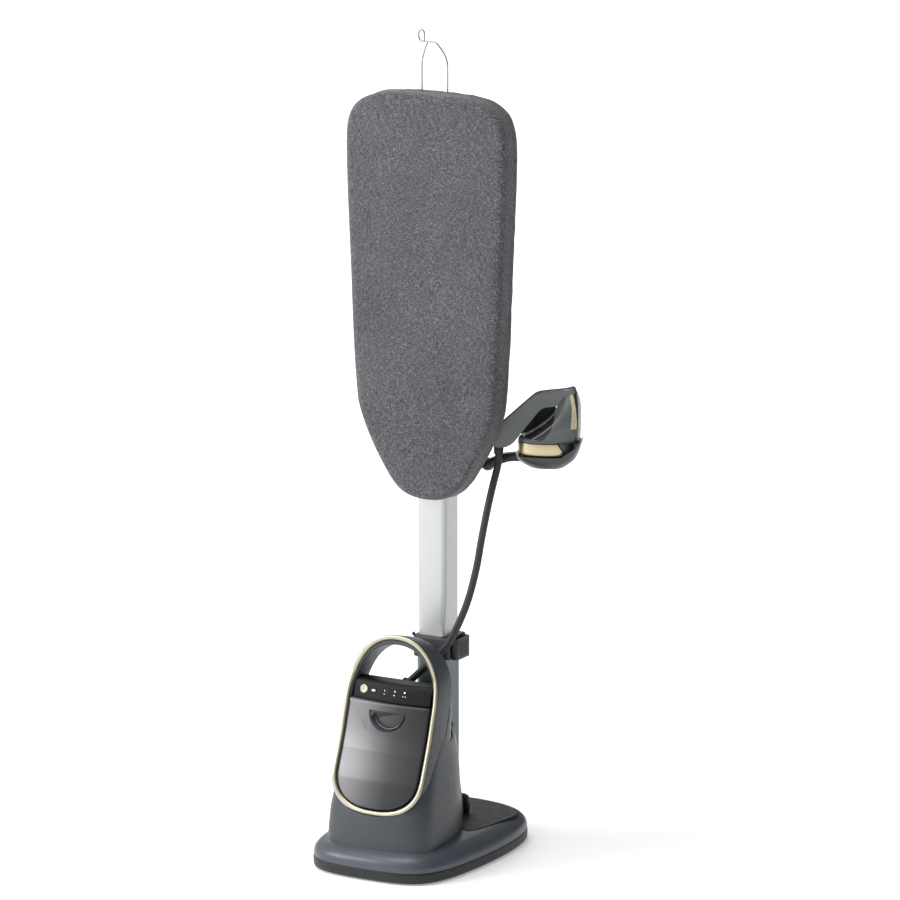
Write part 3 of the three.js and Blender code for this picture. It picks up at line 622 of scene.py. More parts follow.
def tank_material():
    """Smoky see-through plastic with a painted reflection, pale at the left side and darker to the right, and darker
    where water stands.
    """
    material, nodes, links, shader = new_material("smoked_tank", rgb(0x6d6e72), 0.14)
    place = nodes.new("ShaderNodeTexCoord")
    split = nodes.new("ShaderNodeSeparateXYZ")
    links.new(place.outputs["Object"], split.inputs["Vector"])
    across = spread(nodes, links, split.outputs["X"], 0, 1, -0.103, 0.103)
    # painted reflection: the tank is pale at its left side and dark at its right
    painted_reflection = ramp(nodes, links, across, (0.0, 0.22, 0.42, 0.62, 1.0),
                (rgb(0x9c9c9f), rgb(0x808083), rgb(0x59595d), rgb(0x333337), rgb(0x202024)))
    wave = noise_map(nodes, links, coordinates(nodes, links, (3, 3, 12)), 1.5, 2)
    height = nodes.new("ShaderNodeMath")
    height.operation = "MULTIPLY_ADD"
    links.new(wave, height.inputs[0])
    height.inputs[1].default_value = 0.001
    links.new(split.outputs["Z"], height.inputs[2])
    water = ramp(nodes, links, spread(nodes, links, height.outputs[0], 0, 1, 0.130, 0.370),
                 (0.0, 0.42, 0.575, 0.58, 1.0),
                 (rgb(0xcacacb), rgb(0xe2e2e3), rgb(0xd4d4d6), rgb(0xf4f4f4), rgb(0xb4b4b6)))
    links.new(blend_colors(nodes, links, "MULTIPLY", 1.0, painted_reflection, water), shader.inputs["Base Color"])
    cloudy = noise_map(nodes, links, coordinates(nodes, links), 40, 4)
    links.new(spread(nodes, links, cloudy, 0.29, 0.3), shader.inputs["Roughness"])
    fine = noise_map(nodes, links, coordinates(nodes, links), 90, 3)
    bump(nodes, links, shader, fine, 0.01, 0.00005)
    shader.inputs["Coat Weight"].default_value = 0.1
    shader.inputs["Coat Roughness"].default_value = 0.2
    return material


def hose_material():
    """Ribbed rubber hose with slow colour drift, uneven gloss and fine grain."""
    base = rgb(0x1f2125)
    material, nodes, links, shader = new_material("hose_rubber", base, 0.5)
    place = coordinates(nodes, links)
    drift = noise_map(nodes, links, place, 60, 4)
    links.new(ramp(nodes, links, drift, (0.3, 0.7), (darker(base, 0.8), darker(base, 1.3))),
              shader.inputs["Base Color"])
    links.new(spread(nodes, links, drift, 0.44, 0.58), shader.inputs["Roughness"])
    fine = noise_map(nodes, links, place, 1500, 3)
    bump(nodes, links, shader, fine, 0.25, 0.0002)
    return material


def lit_print():
    """Pale printed marks with a faint light behind them."""
    material = moulded("lit_print", rgb(0xd9d9d4), 0.4, 0.05)
    shader = material.node_tree.nodes["Principled BSDF"]
    shader.inputs["Emission Color"].default_value = (1, 1, 0.97, 1)
    shader.inputs["Emission Strength"].default_value = 0.25
    return material


def foam_material():
    base = rgb(0xa9a69c)
    material, nodes, links, shader = new_material("open_foam", base, 0.95)
    place = coordinates(nodes, links)
    cells = nodes.new("ShaderNodeTexVoronoi")
    cells.inputs["Scale"].default_value = 600
    links.new(place, cells.inputs["Vector"])
    links.new(ramp(nodes, links, cells.outputs["Distance"], (0.1, 0.7), (darker(base, 0.7), darker(base, 1.1))),
              shader.inputs["Base Color"])
    bump(nodes, links, shader, cells.outputs["Distance"], 0.5, 0.0005)
    return material


def iron_axes(nodes, links):
    """Millimetres along, across and up the hand iron, in its own frame."""
    place = nodes.new("ShaderNodeTexCoord")
    mapping = nodes.new("ShaderNodeMapping")
    mapping.vector_type = "TEXTURE"
    mapping.inputs["Location"].default_value = tuple(c * MM for c in IRON_PLACE)
    mapping.inputs["Rotation"].default_value = (0, 0, IRON_TURN)
    mapping.inputs["Scale"].default_value = (MM, MM, MM)
    links.new(place.outputs["Object"], mapping.inputs["Vector"])
    split = nodes.new("ShaderNodeSeparateXYZ")
    links.new(mapping.outputs["Vector"], split.inputs["Vector"])
    return split.outputs["X"], split.outputs["Y"], split.outputs["Z"]


def arithmetic(nodes, links, operation, *values):
    node = nodes.new("ShaderNodeMath")
    node.operation = operation
    for socket, value in zip(node.inputs, values):
        if isinstance(value, bpy.types.NodeSocket):
            links.new(value, socket)
        else:
            socket.default_value = value
    return node.outputs[0]


def limit_curve(nodes, links, u, points):
    """The limit along the iron that belongs to a height u: straight pieces through (u, v) points."""
    node = nodes.new("ShaderNodeFloatCurve")
    curve = node.mapping.curves[0]
    while len(curve.points) < len(points):
        curve.points.new(0.5, 0.5)
    for point, (at, value) in zip(curve.points, points):
        point.location = (at / 200, (value + 100) / 200)
        point.handle_type = "VECTOR"
    node.mapping.update()
    links.new(arithmetic(nodes, links, "MULTIPLY", u, 1 / 200), node.inputs["Value"])
    return arithmetic(nodes, links, "MULTIPLY_ADD", node.outputs[0], 200.0, -100.0)


def zoned(name, zones):
    """Iron plastic with zones: each is a mask builder, a colour, a metallic value and a roughness."""
    material, nodes, links, shader = new_material(name, IRON_COLOR, 0.34)
    v, _, u = iron_axes(nodes, links)
    drift = noise_map(nodes, links, coordinates(nodes, links), 9, 4)
    color = ramp(nodes, links, drift, (0.3, 0.7), (darker(IRON_COLOR, 0.92), darker(IRON_COLOR, 1.08)))
    smear = noise_map(nodes, links, coordinates(nodes, links), 70, 5, 0.6)
    rough = spread(nodes, links, smear, 0.29, 0.39)
    metal = None
    for build, tone, metallic, roughness in zones:
        mask = build(nodes, links, v, u)
        color = blend_colors(nodes, links, "MIX", mask, color, tone)
        keep = arithmetic(nodes, links, "MULTIPLY", rough, arithmetic(nodes, links, "SUBTRACT", 1.0, mask))
        rough = arithmetic(nodes, links, "MULTIPLY_ADD", mask, roughness, keep)
        if metallic:
            metal = mask if metal is None else arithmetic(nodes, links, "MAXIMUM", metal, mask)
    links.new(color, shader.inputs["Base Color"])
    links.new(rough, shader.inputs["Roughness"])
    if metal is not None:
        links.new(metal, shader.inputs["Metallic"])
    fine = noise_map(nodes, links, coordinates(nodes, links), 2600, 2)
    bump(nodes, links, shader, fine, 0.05, 0.00012)
    return material


def between(nodes, links, v, u, low, high, u_low, u_high):
    """Mask of the places between two limit curves and two heights."""
    parts = [arithmetic(nodes, links, "GREATER_THAN", v, limit_curve(nodes, links, u, low)),
             arithmetic(nodes, links, "LESS_THAN", v, limit_curve(nodes, links, u, high)),
             arithmetic(nodes, links, "GREATER_THAN", u, u_low), arithmetic(nodes, links, "LESS_THAN", u, u_high)]
    mask = parts[0]
    for part in parts[1:]:
        mask = arithmetic(nodes, links, "MULTIPLY", mask, part)
    return mask


FAR_LEFT = [(0, -99), (200, -99)]
FAR_RIGHT = [(0, 99), (200, 99)]
# limit of the painted shade on the body under the handle
PAINTED_SHADE_EDGE = [(0, -99), (36, 8), (40, 15), (64, 31), (86, 37), (100, 33), (112, 22), (118, -20), (200, -99)]
STRIPE_LEFT = [(0, 73), (64, 73), (90, 74.5), (108, 74), (125, 70.5), (141, 65), (200, 60)]
STRIPE_RIGHT = [(0, 84), (64, 85.5), (85, 85.5), (108, 83), (125, 78.5), (141, 73), (200, 70)]
HEEL_EDGE = [(0, 59), (3, 57), (12, 54), (26, 45), (30, 43), (40, 38), (200, 38)]


def iron_material():
    """Graphite shell with painted shade in the gap under the handle, a gold stripe and a black edge beside it."""
    # painted shade: the body under the handle is near-black where the finger gap lies in shade
    well = lambda nodes, links, v, u: between(nodes, links, v, u, FAR_LEFT, PAINTED_SHADE_EDGE, 36.0, 116.0)
    edge = lambda nodes, links, v, u: between(nodes, links, v, u, STRIPE_LEFT, FAR_RIGHT, 62.0, 160.0)
    stripe = lambda nodes, links, v, u: between(nodes, links, v, u, STRIPE_LEFT, STRIPE_RIGHT, 64.0, 142.0)
    return zoned("iron_shell_zones", [(well, rgb(0x14151a), 0, 0.25), (edge, rgb(0x0c0c0e), 0, 0.6),
                                      (stripe, rgb(0xb3a685), 0, 0.42)])


def heel_material():
    """Gold band round the heel, with a dark joint where the iron's skirt begins."""
    joint_end = [(at, value + 3.5) for at, value in HEEL_EDGE]
    band = lambda nodes, links, v, u: between(nodes, links, v, u, FAR_LEFT, HEEL_EDGE, -5.0, 29.2)
    joint = lambda nodes, links, v, u: between(nodes, links, v, u, HEEL_EDGE, joint_end, -5.0, 40.0)
    groove = lambda nodes, links, v, u: between(nodes, links, v, u, FAR_LEFT, HEEL_EDGE, 29.2, 30.6)
    return zoned("heel_zones", [(band, rgb(0xc2b697), 1, 0.36), (joint, rgb(0x0c0d10), 0, 0.6),
                                (groove, rgb(0x15161a), 0, 0.6)])


IRON_COLOR = rgb(0x494c4d)
SLATE = moulded("slate_shell", rgb(0x484d55), 0.38, 0.10, 0.12)
HOUSE = moulded("housing_shell", rgb(0x3a3f44), 0.42, 0.10, 0.04)
DARK = moulded("charcoal", rgb(0x232529), 0.46, 0.2)
RIM = moulded("rim_charcoal", rgb(0x17191d), 0.5, 0.2)
DECK = moulded("deck_charcoal", rgb(0x16181c), 0.62, 0.25)
BLACK = moulded("gloss_black", rgb(0x0b0b0d), 0.5, 0.02, 0.0, 0.03)
BLACK.node_tree.nodes["Principled BSDF"].inputs["Specular IOR Level"].default_value = 0.22
# painted shadow: near-black for the shade in the tank's finger pull and in the gap under the iron's handle
PAINTED_SHADOW = moulded("shadow_black", rgb(0x101114), 0.55, 0.1)
GREY_KEY = moulded("pale_print", rgb(0xd9d9d4), 0.4, 0.05)
IRONGREY = moulded("iron_graphite", rgb(0x575b5c), 0.36, 0.05, 0.1)
DOCKGREY = moulded("dock_graphite", rgb(0x2c2c2f), 0.34, 0.05, 0.15)
RUBBER = moulded("rubber", rgb(0x202226), 0.7, 0.4)
BOARD_GREEN = moulded("solder_mask", rgb(0x2d5a3c), 0.35, 0.1)
GOLD = drawn_metal("champagne", rgb(0xb3ae9c), 0.36, (40, 40, 40), 0.03, 0.000001)
# darker champagne: painted shade on the gold bead's side walls, and the real dark slash mark on the power key
GOLD_SHADE_AND_MARK = drawn_metal("champagne_painted_shade_and_mark", rgb(0x6a6049), 0.4, (40, 40, 40), 0.05, 0.000001)
ALU = drawn_metal("anodised", rgb(0xb9bbbb), 0.42, (900, 900, 5), 0.04)
ALU_OUTER = drawn_metal("anodised_outer", rgb(0x6f7679), 0.46, (900, 900, 5), 0.04)
STEEL = drawn_metal("steel", rgb(0x9a9c9e), 0.30, (500, 500, 60), 0.08)
WIRE = drawn_metal("wire_steel", rgb(0x8b8d8f), 0.28, (300, 300, 300), 0.08)
SOLE_METAL = drawn_metal("sole_ceramic", rgb(0x4c4e50), 0.34, (300, 300, 40), 0.05, 0.000002)
LIT_MARK = lit_print()
CLOTH = fabric_material()
FOAM = foam_material()
SKIRT = iron_material()
HEEL = heel_material()
TANK = tank_material()
HOSE = hose_material()


# ---------------------------------------------------------------- camera, light and floor
def make_camera():
    data = bpy.data.cameras.new("camera")
    data.lens = 234.5
    data.sensor_width = 36
    data.clip_end = 60
    camera = bpy.data.objects.new("camera", data)
    camera.location = (6.298, -10.798, 3.655)
    camera.rotation_euler = (math.radians(77.6), 0, math.radians(30))
    bpy.context.scene.collection.objects.link(camera)
    bpy.context.scene.camera = camera


def area_light(name, place, target, size, power, color=(1, 1, 1)):
    data = bpy.data.lights.new(name, "AREA")
    data.shape = "RECTANGLE"
    data.size, data.size_y = size
    data.energy = power
    data.color = color
    light = bpy.data.objects.new(name, data)
    light.location = place
    light.rotation_euler = (Vector(target) - Vector(place)).to_track_quat("-Z", "Y").to_euler()
    bpy.context.scene.collection.objects.link(light)


def make_sky():
    """White behind the object; its light is strong from the front left and weak from the right."""
    world = bpy.data.worlds.new("studio")
    world.use_nodes = True
    nodes = world.node_tree.nodes
    links = world.node_tree.links
    soft = nodes["Background"]
    place = nodes.new("ShaderNodeTexCoord")
    toward = nodes.new("ShaderNodeVectorMath")
    toward.operation = "DOT_PRODUCT"
    toward.inputs[1].default_value = (-0.78, -0.52, 0.34)
    links.new(place.outputs["Generated"], toward.inputs[0])
    links.new(spread(nodes, links, toward.outputs["Value"], SKY_DIM, SKY_BRIGHT, -0.35, 0.9), soft.inputs["Strength"])
    white = nodes.new("ShaderNodeBackground")
    white.inputs["Strength"].default_value = 1.0
    white.inputs["Color"].default_value = (1, 1, 1, 1)
    soft.inputs["Color"].default_value = (1, 1, 1, 1)
    seen = nodes.new("ShaderNodeLightPath")
    join = nodes.new("ShaderNodeMixShader")
    links.new(seen.outputs["Is Camera Ray"], join.inputs[0])
    links.new(soft.outputs[0], join.inputs[1])
    links.new(white.outputs[0], join.inputs[2])
    links.new(join.outputs[0], nodes["World Output"].inputs["Surface"])
    bpy.context.scene.world = world


def make_studio():
    make_sky()
    bpy.context.scene.view_settings.view_transform = "Standard"
    area_light("key", (-3.4, -3.2, 2.8), (0, 0, 0.9), (2.2, 2.8), 150)
    area_light("top", (-0.6, -1.0, 4.6), (0, 0, 0.2), (2.6, 2.6), 90)
    area_light("rim", (-2.6, 3.4, 3.0), (0, 0, 0.9), (2.0, 2.0), 30)
    floor = link("floor", mesh_of("floor", [box(-60000, 60000, -60000, 60000, -10, 0)]))
    pale, nodes, links, shader = new_material("pale_floor", (0.92, 0.92, 0.92), 0.6)
    drift = noise_map(nodes, links, coordinates(nodes, links), 3, 3)
    links.new(ramp(nodes, links, drift, (0.3, 0.7), ((0.91, 0.91, 0.91), (0.93, 0.93, 0.93))),
              shader.inputs["Base Color"])
    shader.inputs["Emission Color"].default_value = (1, 1, 1, 1)
    away = nodes.new("ShaderNodeVectorMath")
    away.operation = "LENGTH"
    place = nodes.new("ShaderNodeTexCoord")
    links.new(place.outputs["Object"], away.inputs[0])
    links.new(spread(nodes, links, away.outputs["Value"], FLOOR_GLOW, 1.0, 1.0, 6.0),
              shader.inputs["Emission Strength"])
    floor.data.materials.append(pale)


# ---------------------------------------------------------------- hose
def hose_line(count=220):
    """Evenly spaced points, in millimetres, on a smooth curve through the route."""
    fine = []
    for a, b, c, d in zip([HOSE_ROUTE[0]] + HOSE_ROUTE, HOSE_ROUTE, HOSE_ROUTE[1:],
                          HOSE_ROUTE[2:] + [HOSE_ROUTE[-1]]):
        a, b, c, d = (Vector(p) for p in (a, b, c, d))
        if (a - b).length < 1e-6:
            a = b * 2 - c
        if (d - c).length < 1e-6:
            d = c * 2 - b
        times = [0.0]
        for p, q in ((a, b), (b, c), (c, d)):
            times.append(times[-1] + (q - p).length ** 0.5)
        for i in range(24):
            t = mix(times[1], times[2], i / 24)
            ab = a.lerp(b, (t - times[0]) / (times[1] - times[0]))
            bc = b.lerp(c, (t - times[1]) / (times[2] - times[1]))
            cd = c.lerp(d, (t - times[2]) / (times[3] - times[2]))
            abc = ab.lerp(bc, (t - times[0]) / (times[2] - times[0]))
            bcd = bc.lerp(cd, (t - times[1]) / (times[3] - times[1]))
            fine.append(abc.lerp(bcd, (t - times[1]) / (times[2] - times[1])))
    fine.append(Vector(HOSE_ROUTE[-1]))
    lengths = [0.0]
    for p, q in zip(fine, fine[1:]):
        lengths.append(lengths[-1] + (q - p).length)
    out = []
    k = 0
    for i in range(count + 1):
        goal = lengths[-1] * i / count
        while k < len(fine) - 2 and lengths[k + 1] < goal:
            k += 1
        out.append(fine[k].lerp(fine[k + 1], (goal - lengths[k]) / (lengths[k + 1] - lengths[k])))
    return out, lengths[-1]


def make_hose():
    line, length = hose_line()
    cut = round(HOSE_SPLIT * (len(line) - 1))
    stretches = [("steam_hose_lower", "hose_lower", line[:cut + 1], "stand", "mast"),
                 ("steam_hose_upper", "hose_upper", line[cut:], "mast", "iron")]
    for name, node, points, first, second in stretches:
        obj = link(name, mesh_of(name, [tube_along(points, HOSE_R, 48, 0.13, 4)]))
        shade(obj, HOSE, 60)
        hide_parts(node)
        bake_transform(obj)


# ---------------------------------------------------------------- base
def base_ring(distance):
    return inset(mirrored_bezier(BASE_HALF, 26), distance)


def mirror_half(half):
    return half + [(-x, y) for x, y in reversed(half[1:-1])]


def make_base():
    rim = [(9, 2.5), (5.5, 2.9), (3, 4.2), (1.2, 6.6), (0.3, 9.2), (0, 12), (0, 22), (0.1, 25), (0.8, 26.6),
           (2, 27)]
    plate = link("base_rim", mesh_of("base_rim", [loft([level(base_ring(d), z) for d, z in rim])]))
    carve(plate, [prism(rounded_rect(0, POLE_Y, 84, 78, 14), "z", 12, 40)])
    settle(plate, RIM, "stand", ["base_plate"])
    profile = spline(COVER_PROFILE, 40)
    cover = link("base_shell", mesh_of("base_shell", [loft([level(base_ring(d), z) for d, z in profile])]))
    plan = smooth_loop(mirror_half(DECK_HALF), 2, 0.25)
    carve(cover, [prism(plan, "z", DECK_FLOOR, 90), prism(rounded_rect(0, POLE_Y, 84, 78, 14), "z", 10, 90)])
    settle(cover, SLATE, "stand", ["base_cover"], 38)
    edge = [(1.5, 64.6), (1.5, 65.6), (2.4, 66.6), (4.5, 67.2), (7.5, 67.0), (9.5, 66.2), (12, 65.9)]
    deck = link("deck_tray", mesh_of("deck_tray", [loft([level(inset(plan, d), z) for d, z in edge])]))
    carve(deck, [prism(rounded_rect(0, POLE_Y, 84, 78, 14), "z", 10, 90)])
    settle(deck, DECK, "stand", ["rear_deck"], 40)


# ---------------------------------------------------------------- housing, hoop and panel
def make_housing():
    lower = [teardrop(-245, 130, (119, -26), 56, 98, 62), teardrop(-243, 129, (118.5, -26), 56, 98, 80),
             teardrop(-240, 128, (118, -26.4), 55.6, 94, 107), teardrop(-236, 127, (117, -27), 55, 88, 134),
             teardrop(-225, 124, (115, -25.6), 54.6, 82, 171), teardrop(-213, 121, (113, -24), 54, 76, 208),
             teardrop(-199, 118, (111, -26), 53, 72, 244), teardrop(-190, 117, (107.5, -29), 51.5, 70, 260),
             teardrop(-183, 116.6, (104.4, -32), 50, 68, 276), teardrop(-181, 116.4, (102.6, -35), 48.8, 65.4, 281.6),
             teardrop(-180, 116.3, (100.4, -38), 47.4, 62.6, 285.4), teardrop(-179, 116.2, (98, -41), 46, 60, 287.4)]
    upper = [teardrop(-208, 117.5, (103, -47), 42, 23, 200), teardrop(-172, 116, (103, -47), 42, 23, 300),
             teardrop(-150, 116, (103, -47), 42, 23, 362),
             teardrop(-149, 115.4, (102.4, -47.6), 41.6, 22.6, 366),
             teardrop(-147, 113.9, (101, -49), 40.2, 21.6, 369),
             teardrop(-144.6, 111.8, (98.6, -50.6), 38, 20, 371.2),
             teardrop(-142, 109.8, (96, -52), 36, 18, 372)]
    pole = rounded_rect(0, POLE_Y, POLE_W + 7, POLE_D + 7, POLE_R + 3)
    mouth = loft([followed(hoop_outline(0, 0), -90), followed(hoop_outline(0, 0), HOOP_DEPTH + 0.4)])
    bay = prism(hoop_outline(HOOP_SIDE, HOOP_GRIP), "y", -300, -94)
    flank = [(-300, 150), (-240, 150), (-174.5, 284), (-142, 292)]
    flank += [(lean(z) + HOOP_DEPTH - 5, z) for z in range(300, 436, 6)] + [(-300, 430)]
    sides = loft([[(x, y, z) for y, z in flank] for x in (-140, 140)])
    over = box(-140, 140, -300, -98, PANEL_FLOOR - 1, 600)
    for name, rings, stands_for in (("housing", lower, ["housing_front", "housing_rear"]),
                                    ("housing_neck", upper, ())):
        shell = link(name, mesh_of(name, [loft(rings)]))
        carve(shell, [mouth, bay, over, sides, prism(pole, "z", 40, 420)])
        settle(shell, HOUSE, "stand", stands_for, 26)


def followed(points, offset):
    return [(x, lean(z) + offset, z) for x, z in points]


def make_hoop():
    outer = followed(hoop_outline(GAP, GAP), 0)
    rear = followed(hoop_outline(GAP, HOOP_FALL), HOOP_DEPTH)
    inner_rear = followed(hoop_outline(HOOP_SIDE, HOOP_GRIP + HOOP_FALL * 0.6), HOOP_DEPTH)
    inner = followed(hoop_outline(HOOP_SIDE, HOOP_GRIP), 0)
    piece("grip_hoop", [loft_round([outer, rear, inner_rear, inner])], HOUSE, "stand",
          ["carry_hoop"], 3.2, 4)
    section = [(0.3, -0.9), (0.3, -3.2), (1.2, -4.4), (2.8, -5.2), (6.6, -5.2), (8.4, -4.6), (9.6, -3.4),
               (12, -1.2), (12, -0.9)]
    rings = [followed(hoop_outline(side, side), y) for side, y in section]
    trim = link("gold_bead", mesh_of("gold_bead", [loft_round(rings)]))
    settle(trim, GOLD, "stand", ["hoop_trim"], 50)
    # the bead's side walls take the darker champagne as painted shade
    trim.data.materials.append(GOLD_SHADE_AND_MARK)
    count = len(rings[0])
    for polygon in trim.data.polygons:
        low = min(v // count for v in polygon.vertices)
        high = max(v // count for v in polygon.vertices)
        if (low, high) in ((0, 1), (6, 7), (7, 8)):
            polygon.material_index = 1


def make_panel():
    half = grip_half(PANEL_ROOF) - 1
    steps = [(371.5, 1.2), (372.2, 0.4), (373.5, 0), (380, 0), (388, 0), (396, 0), (402, 0), (405, 0.4), (407.5, 1.3),
             (409.5, 2.7), (411, 4.6), (411.8, 6.6), (412, 8.6)]
    rings = []
    for z, back in steps:
        front = [(half * mix(-1, 1, i / 48), panel_face(half * mix(-1, 1, i / 48), z) + back, z)
                 for i in range(49)]
        rings.append(front + [(half, PANEL_BACK, z), (-half, PANEL_BACK, z)])
    panel = link("control_fascia", mesh_of("control_fascia", [loft(rings)]))
    hole = rod(on_panel(-70, 392, 0, 0, 30), on_panel(-70, 392, 0, 0, -30), 10.2, 40)
    key = [on_panel(-44, 392, x, z, depth) for depth in (-30, 30) for x, z in ((-7, -3.5), (7, -3.5), (7, 3.5), (-7, 3.5))]
    carve(panel, [hole, (key, box(0, 1, 0, 1, 0, 1)[1])])
    settle(panel, BLACK, "stand", ["control_panel"], 40)


def on_panel(x, z, dx, dz, out):
    """A point near (x, z) on the panel: dx and dz lie in its leaning face and out is along its normal."""
    c = math.cos(PANEL_TILT)
    s = math.sin(PANEL_TILT)
    return (x + dx, panel_face(x, z) + dz * s - out * c, z + dz * c + out * s)


def panel_print(outline, x, z, out=0.45):
    """A flat printed mark on the panel."""
    ring = [on_panel(x, z, a, b, out) for a, b in outline]
    low = [on_panel(x, z, a, b, out - 1) for a, b in outline]
    return loft([low, ring])


def circle(radius, sides=24, cx=0.0, cz=0.0):
    return [(cx + radius * math.cos(2 * math.pi * k / sides), cz + radius * math.sin(2 * math.pi * k / sides))
            for k in range(sides)]


def make_marks():
    """Small level marks on the display."""
    marks = []
    for x, z, r in ((-16, 395, 1.3), (-16, 388, 1.0), (10, 396, 1.6), (9, 388, 1.4), (34, 396, 2.1),
                    (31, 388, 1.2), (37, 387.5, 1.2)):
        marks.append(panel_print(circle(r), x, z))
    piece("panel_marks", marks, LIT_MARK, "stand")


def make_power_button():
    """Gold key with a raised rim and a slanting mark."""
    at = lambda a, b, out: on_panel(-70, 392, a, b, out)
    profile = [(9.4, -12), (9.4, 1.0), (9.1, 1.6), (8.4, 1.9), (7.7, 1.7), (7.2, 1.2), (0.5, 1.0)]
    rings = [[at(a, b, out) for a, b in circle(r, 48)] for r, out in profile]
    piece("gold_key", [loft(rings)], GOLD, "power_key", ["power_button"], 0, 2, 40)
    slash = [(-3.4, -4.2), (-2.4, -4.8), (3.6, 4.0), (2.6, 4.6)]
    piece("key_slash", [loft([[at(a, b, 0.6) for a, b in slash], [at(a, b, 1.35) for a, b in slash]])],
          GOLD_SHADE_AND_MARK, "power_key")


def make_mode_button():
    """Small soft key with rounded ends, and the flush window of the display beside it."""
    profile = [(0, -12), (0, 0.6), (0.3, 1.1), (0.9, 1.4), (2.2, 1.5)]
    plan = rounded_rect(0, 0, 13, 6, 2.8, 6)
    rings = [[on_panel(-44, 392, a, b, out) for a, b in inset(plan, d)] for d, out in profile]
    piece("mode_key", [loft(rings)], BLACK, "mode_key", ["mode_button"], 0, 2, 40)
    cloud = []
    for dx, dz, r in ((-3.4, 0.3, 1.3), (-1.2, 1.0, 1.6), (1.4, 0.6, 1.5), (3.5, 0.2, 1.2)):
        cloud.append(panel_print(circle(r, 20, dx, dz), -44, 392, 1.75))
    cloud.append(panel_print([(-4.8, -2.0), (4.8, -2.0), (4.8, -1.1), (-4.8, -1.1)], -44, 392, 1.75))
    piece("mode_mark", cloud, LIT_MARK, "mode_key")
    window = rounded_rect(14, 0, 52, 15, 2.5, 6)
    rings = [[on_panel(a, 392, 0, b, out) for a, b in inset(window, d)] for d, out in ((0, -3), (0, 0.1), (0.3, 0.2))]
    piece("display_window", [loft(rings)], BLACK, "stand", ["indicator_lens"])


# ---------------------------------------------------------------- water tank
def tank_skin(x, z):
    return lean(z) - 1.5 - 8 * (1 - (x / HOOP_HALF) ** 2)


def tank_outline():
    return [(x, min(z, TANK_ROOF)) for x, z in hoop_outline(HOOP_SIDE + 0.8, HOOP_GRIP)]


def pull_outline(scale, drop=0.0, steps=28):
    """The D of the finger pull, flat along its top."""
    points = [(48 * scale * math.cos(math.pi + i / steps * math.pi),
               353 - drop + 44 * scale * math.sin(math.pi + i / steps * math.pi)) for i in range(steps + 1)]
    return points


def make_tank():
    levels = [(0, 6), (0.1, 3.4), (0.7, 1.6), (1.9, 0.5), (3.8, 0.05), (6, 0)]
    shell = domed(tank_outline(), (236, 266), tank_skin, levels, 14, TANK_BACK)
    tank = link("tank_shell", mesh_of("tank_shell", [shell]))
    mouth = [(x, tank_skin(x, z) - 4, z) for x, z in pull_outline(1.0)]
    floor = [(x, tank_skin(x, z) + 17, z) for x, z in pull_outline(0.86, 3)]
    far = [(x, -260, z) for x, z in pull_outline(1.0)]
    carve(tank, [loft([far, mouth, floor])])
    settle(tank, TANK, "tank", ["water_tank"], 38)
    lip = []
    for scale, out in ((0.80, 12), (0.78, 11), (0.74, 11), (0.72, 12.5), (0.72, 18), (0.80, 18)):
        lip.append([(x, tank_skin(x, z) + out, z) for x, z in smooth_loop(pull_outline(scale, 5), 1)])
    piece("pull_lip", [loft_round(lip)], TANK, "tank", ["tank_grip"], 0, 2, 50)
    # painted shadow: a near-black piece in the finger pull's recess, under its top lip
    shadow_plan = [(-46, 354), (46, 354), (45, 349), (-32, 348), (-36, 340), (-44, 340)]
    piece("pull_recess_shadow", [loft([[(x, tank_skin(x, z) + 1.2, z) for x, z in shadow_plan],
                              [(x, tank_skin(x, z) + 16, z) for x, z in shadow_plan]])], PAINTED_SHADOW, "tank")
    refine("tank_valve", RUBBER, 0.8)
    refine("tank_lid", TANK, 0.5)


# ---------------------------------------------------------------- pole and collar
def pole_pipe(extra, low, high, wall=2):
    outer = rounded_rect(0, POLE_Y, POLE_W + extra, POLE_D + extra, POLE_R + extra / 2, 12)
    inner = rounded_rect(0, POLE_Y, POLE_W + extra - 2 * wall, POLE_D + extra - 2 * wall,
                         POLE_R + extra / 2 - wall, 12)
    return loft_round([level(outer, low), level(outer, high - 0.6), level(inset(outer, 0.6), high),
                       level(inner, high), level(inner, low)])


def make_pole():
    piece("outer_tube", [pole_pipe(6, 13.3, 470)], ALU_OUTER, "stand", ["pole_outer"])
    piece("inner_tube", [pole_pipe(0, 320, 1096)], ALU, "mast", ["pole_inner"])


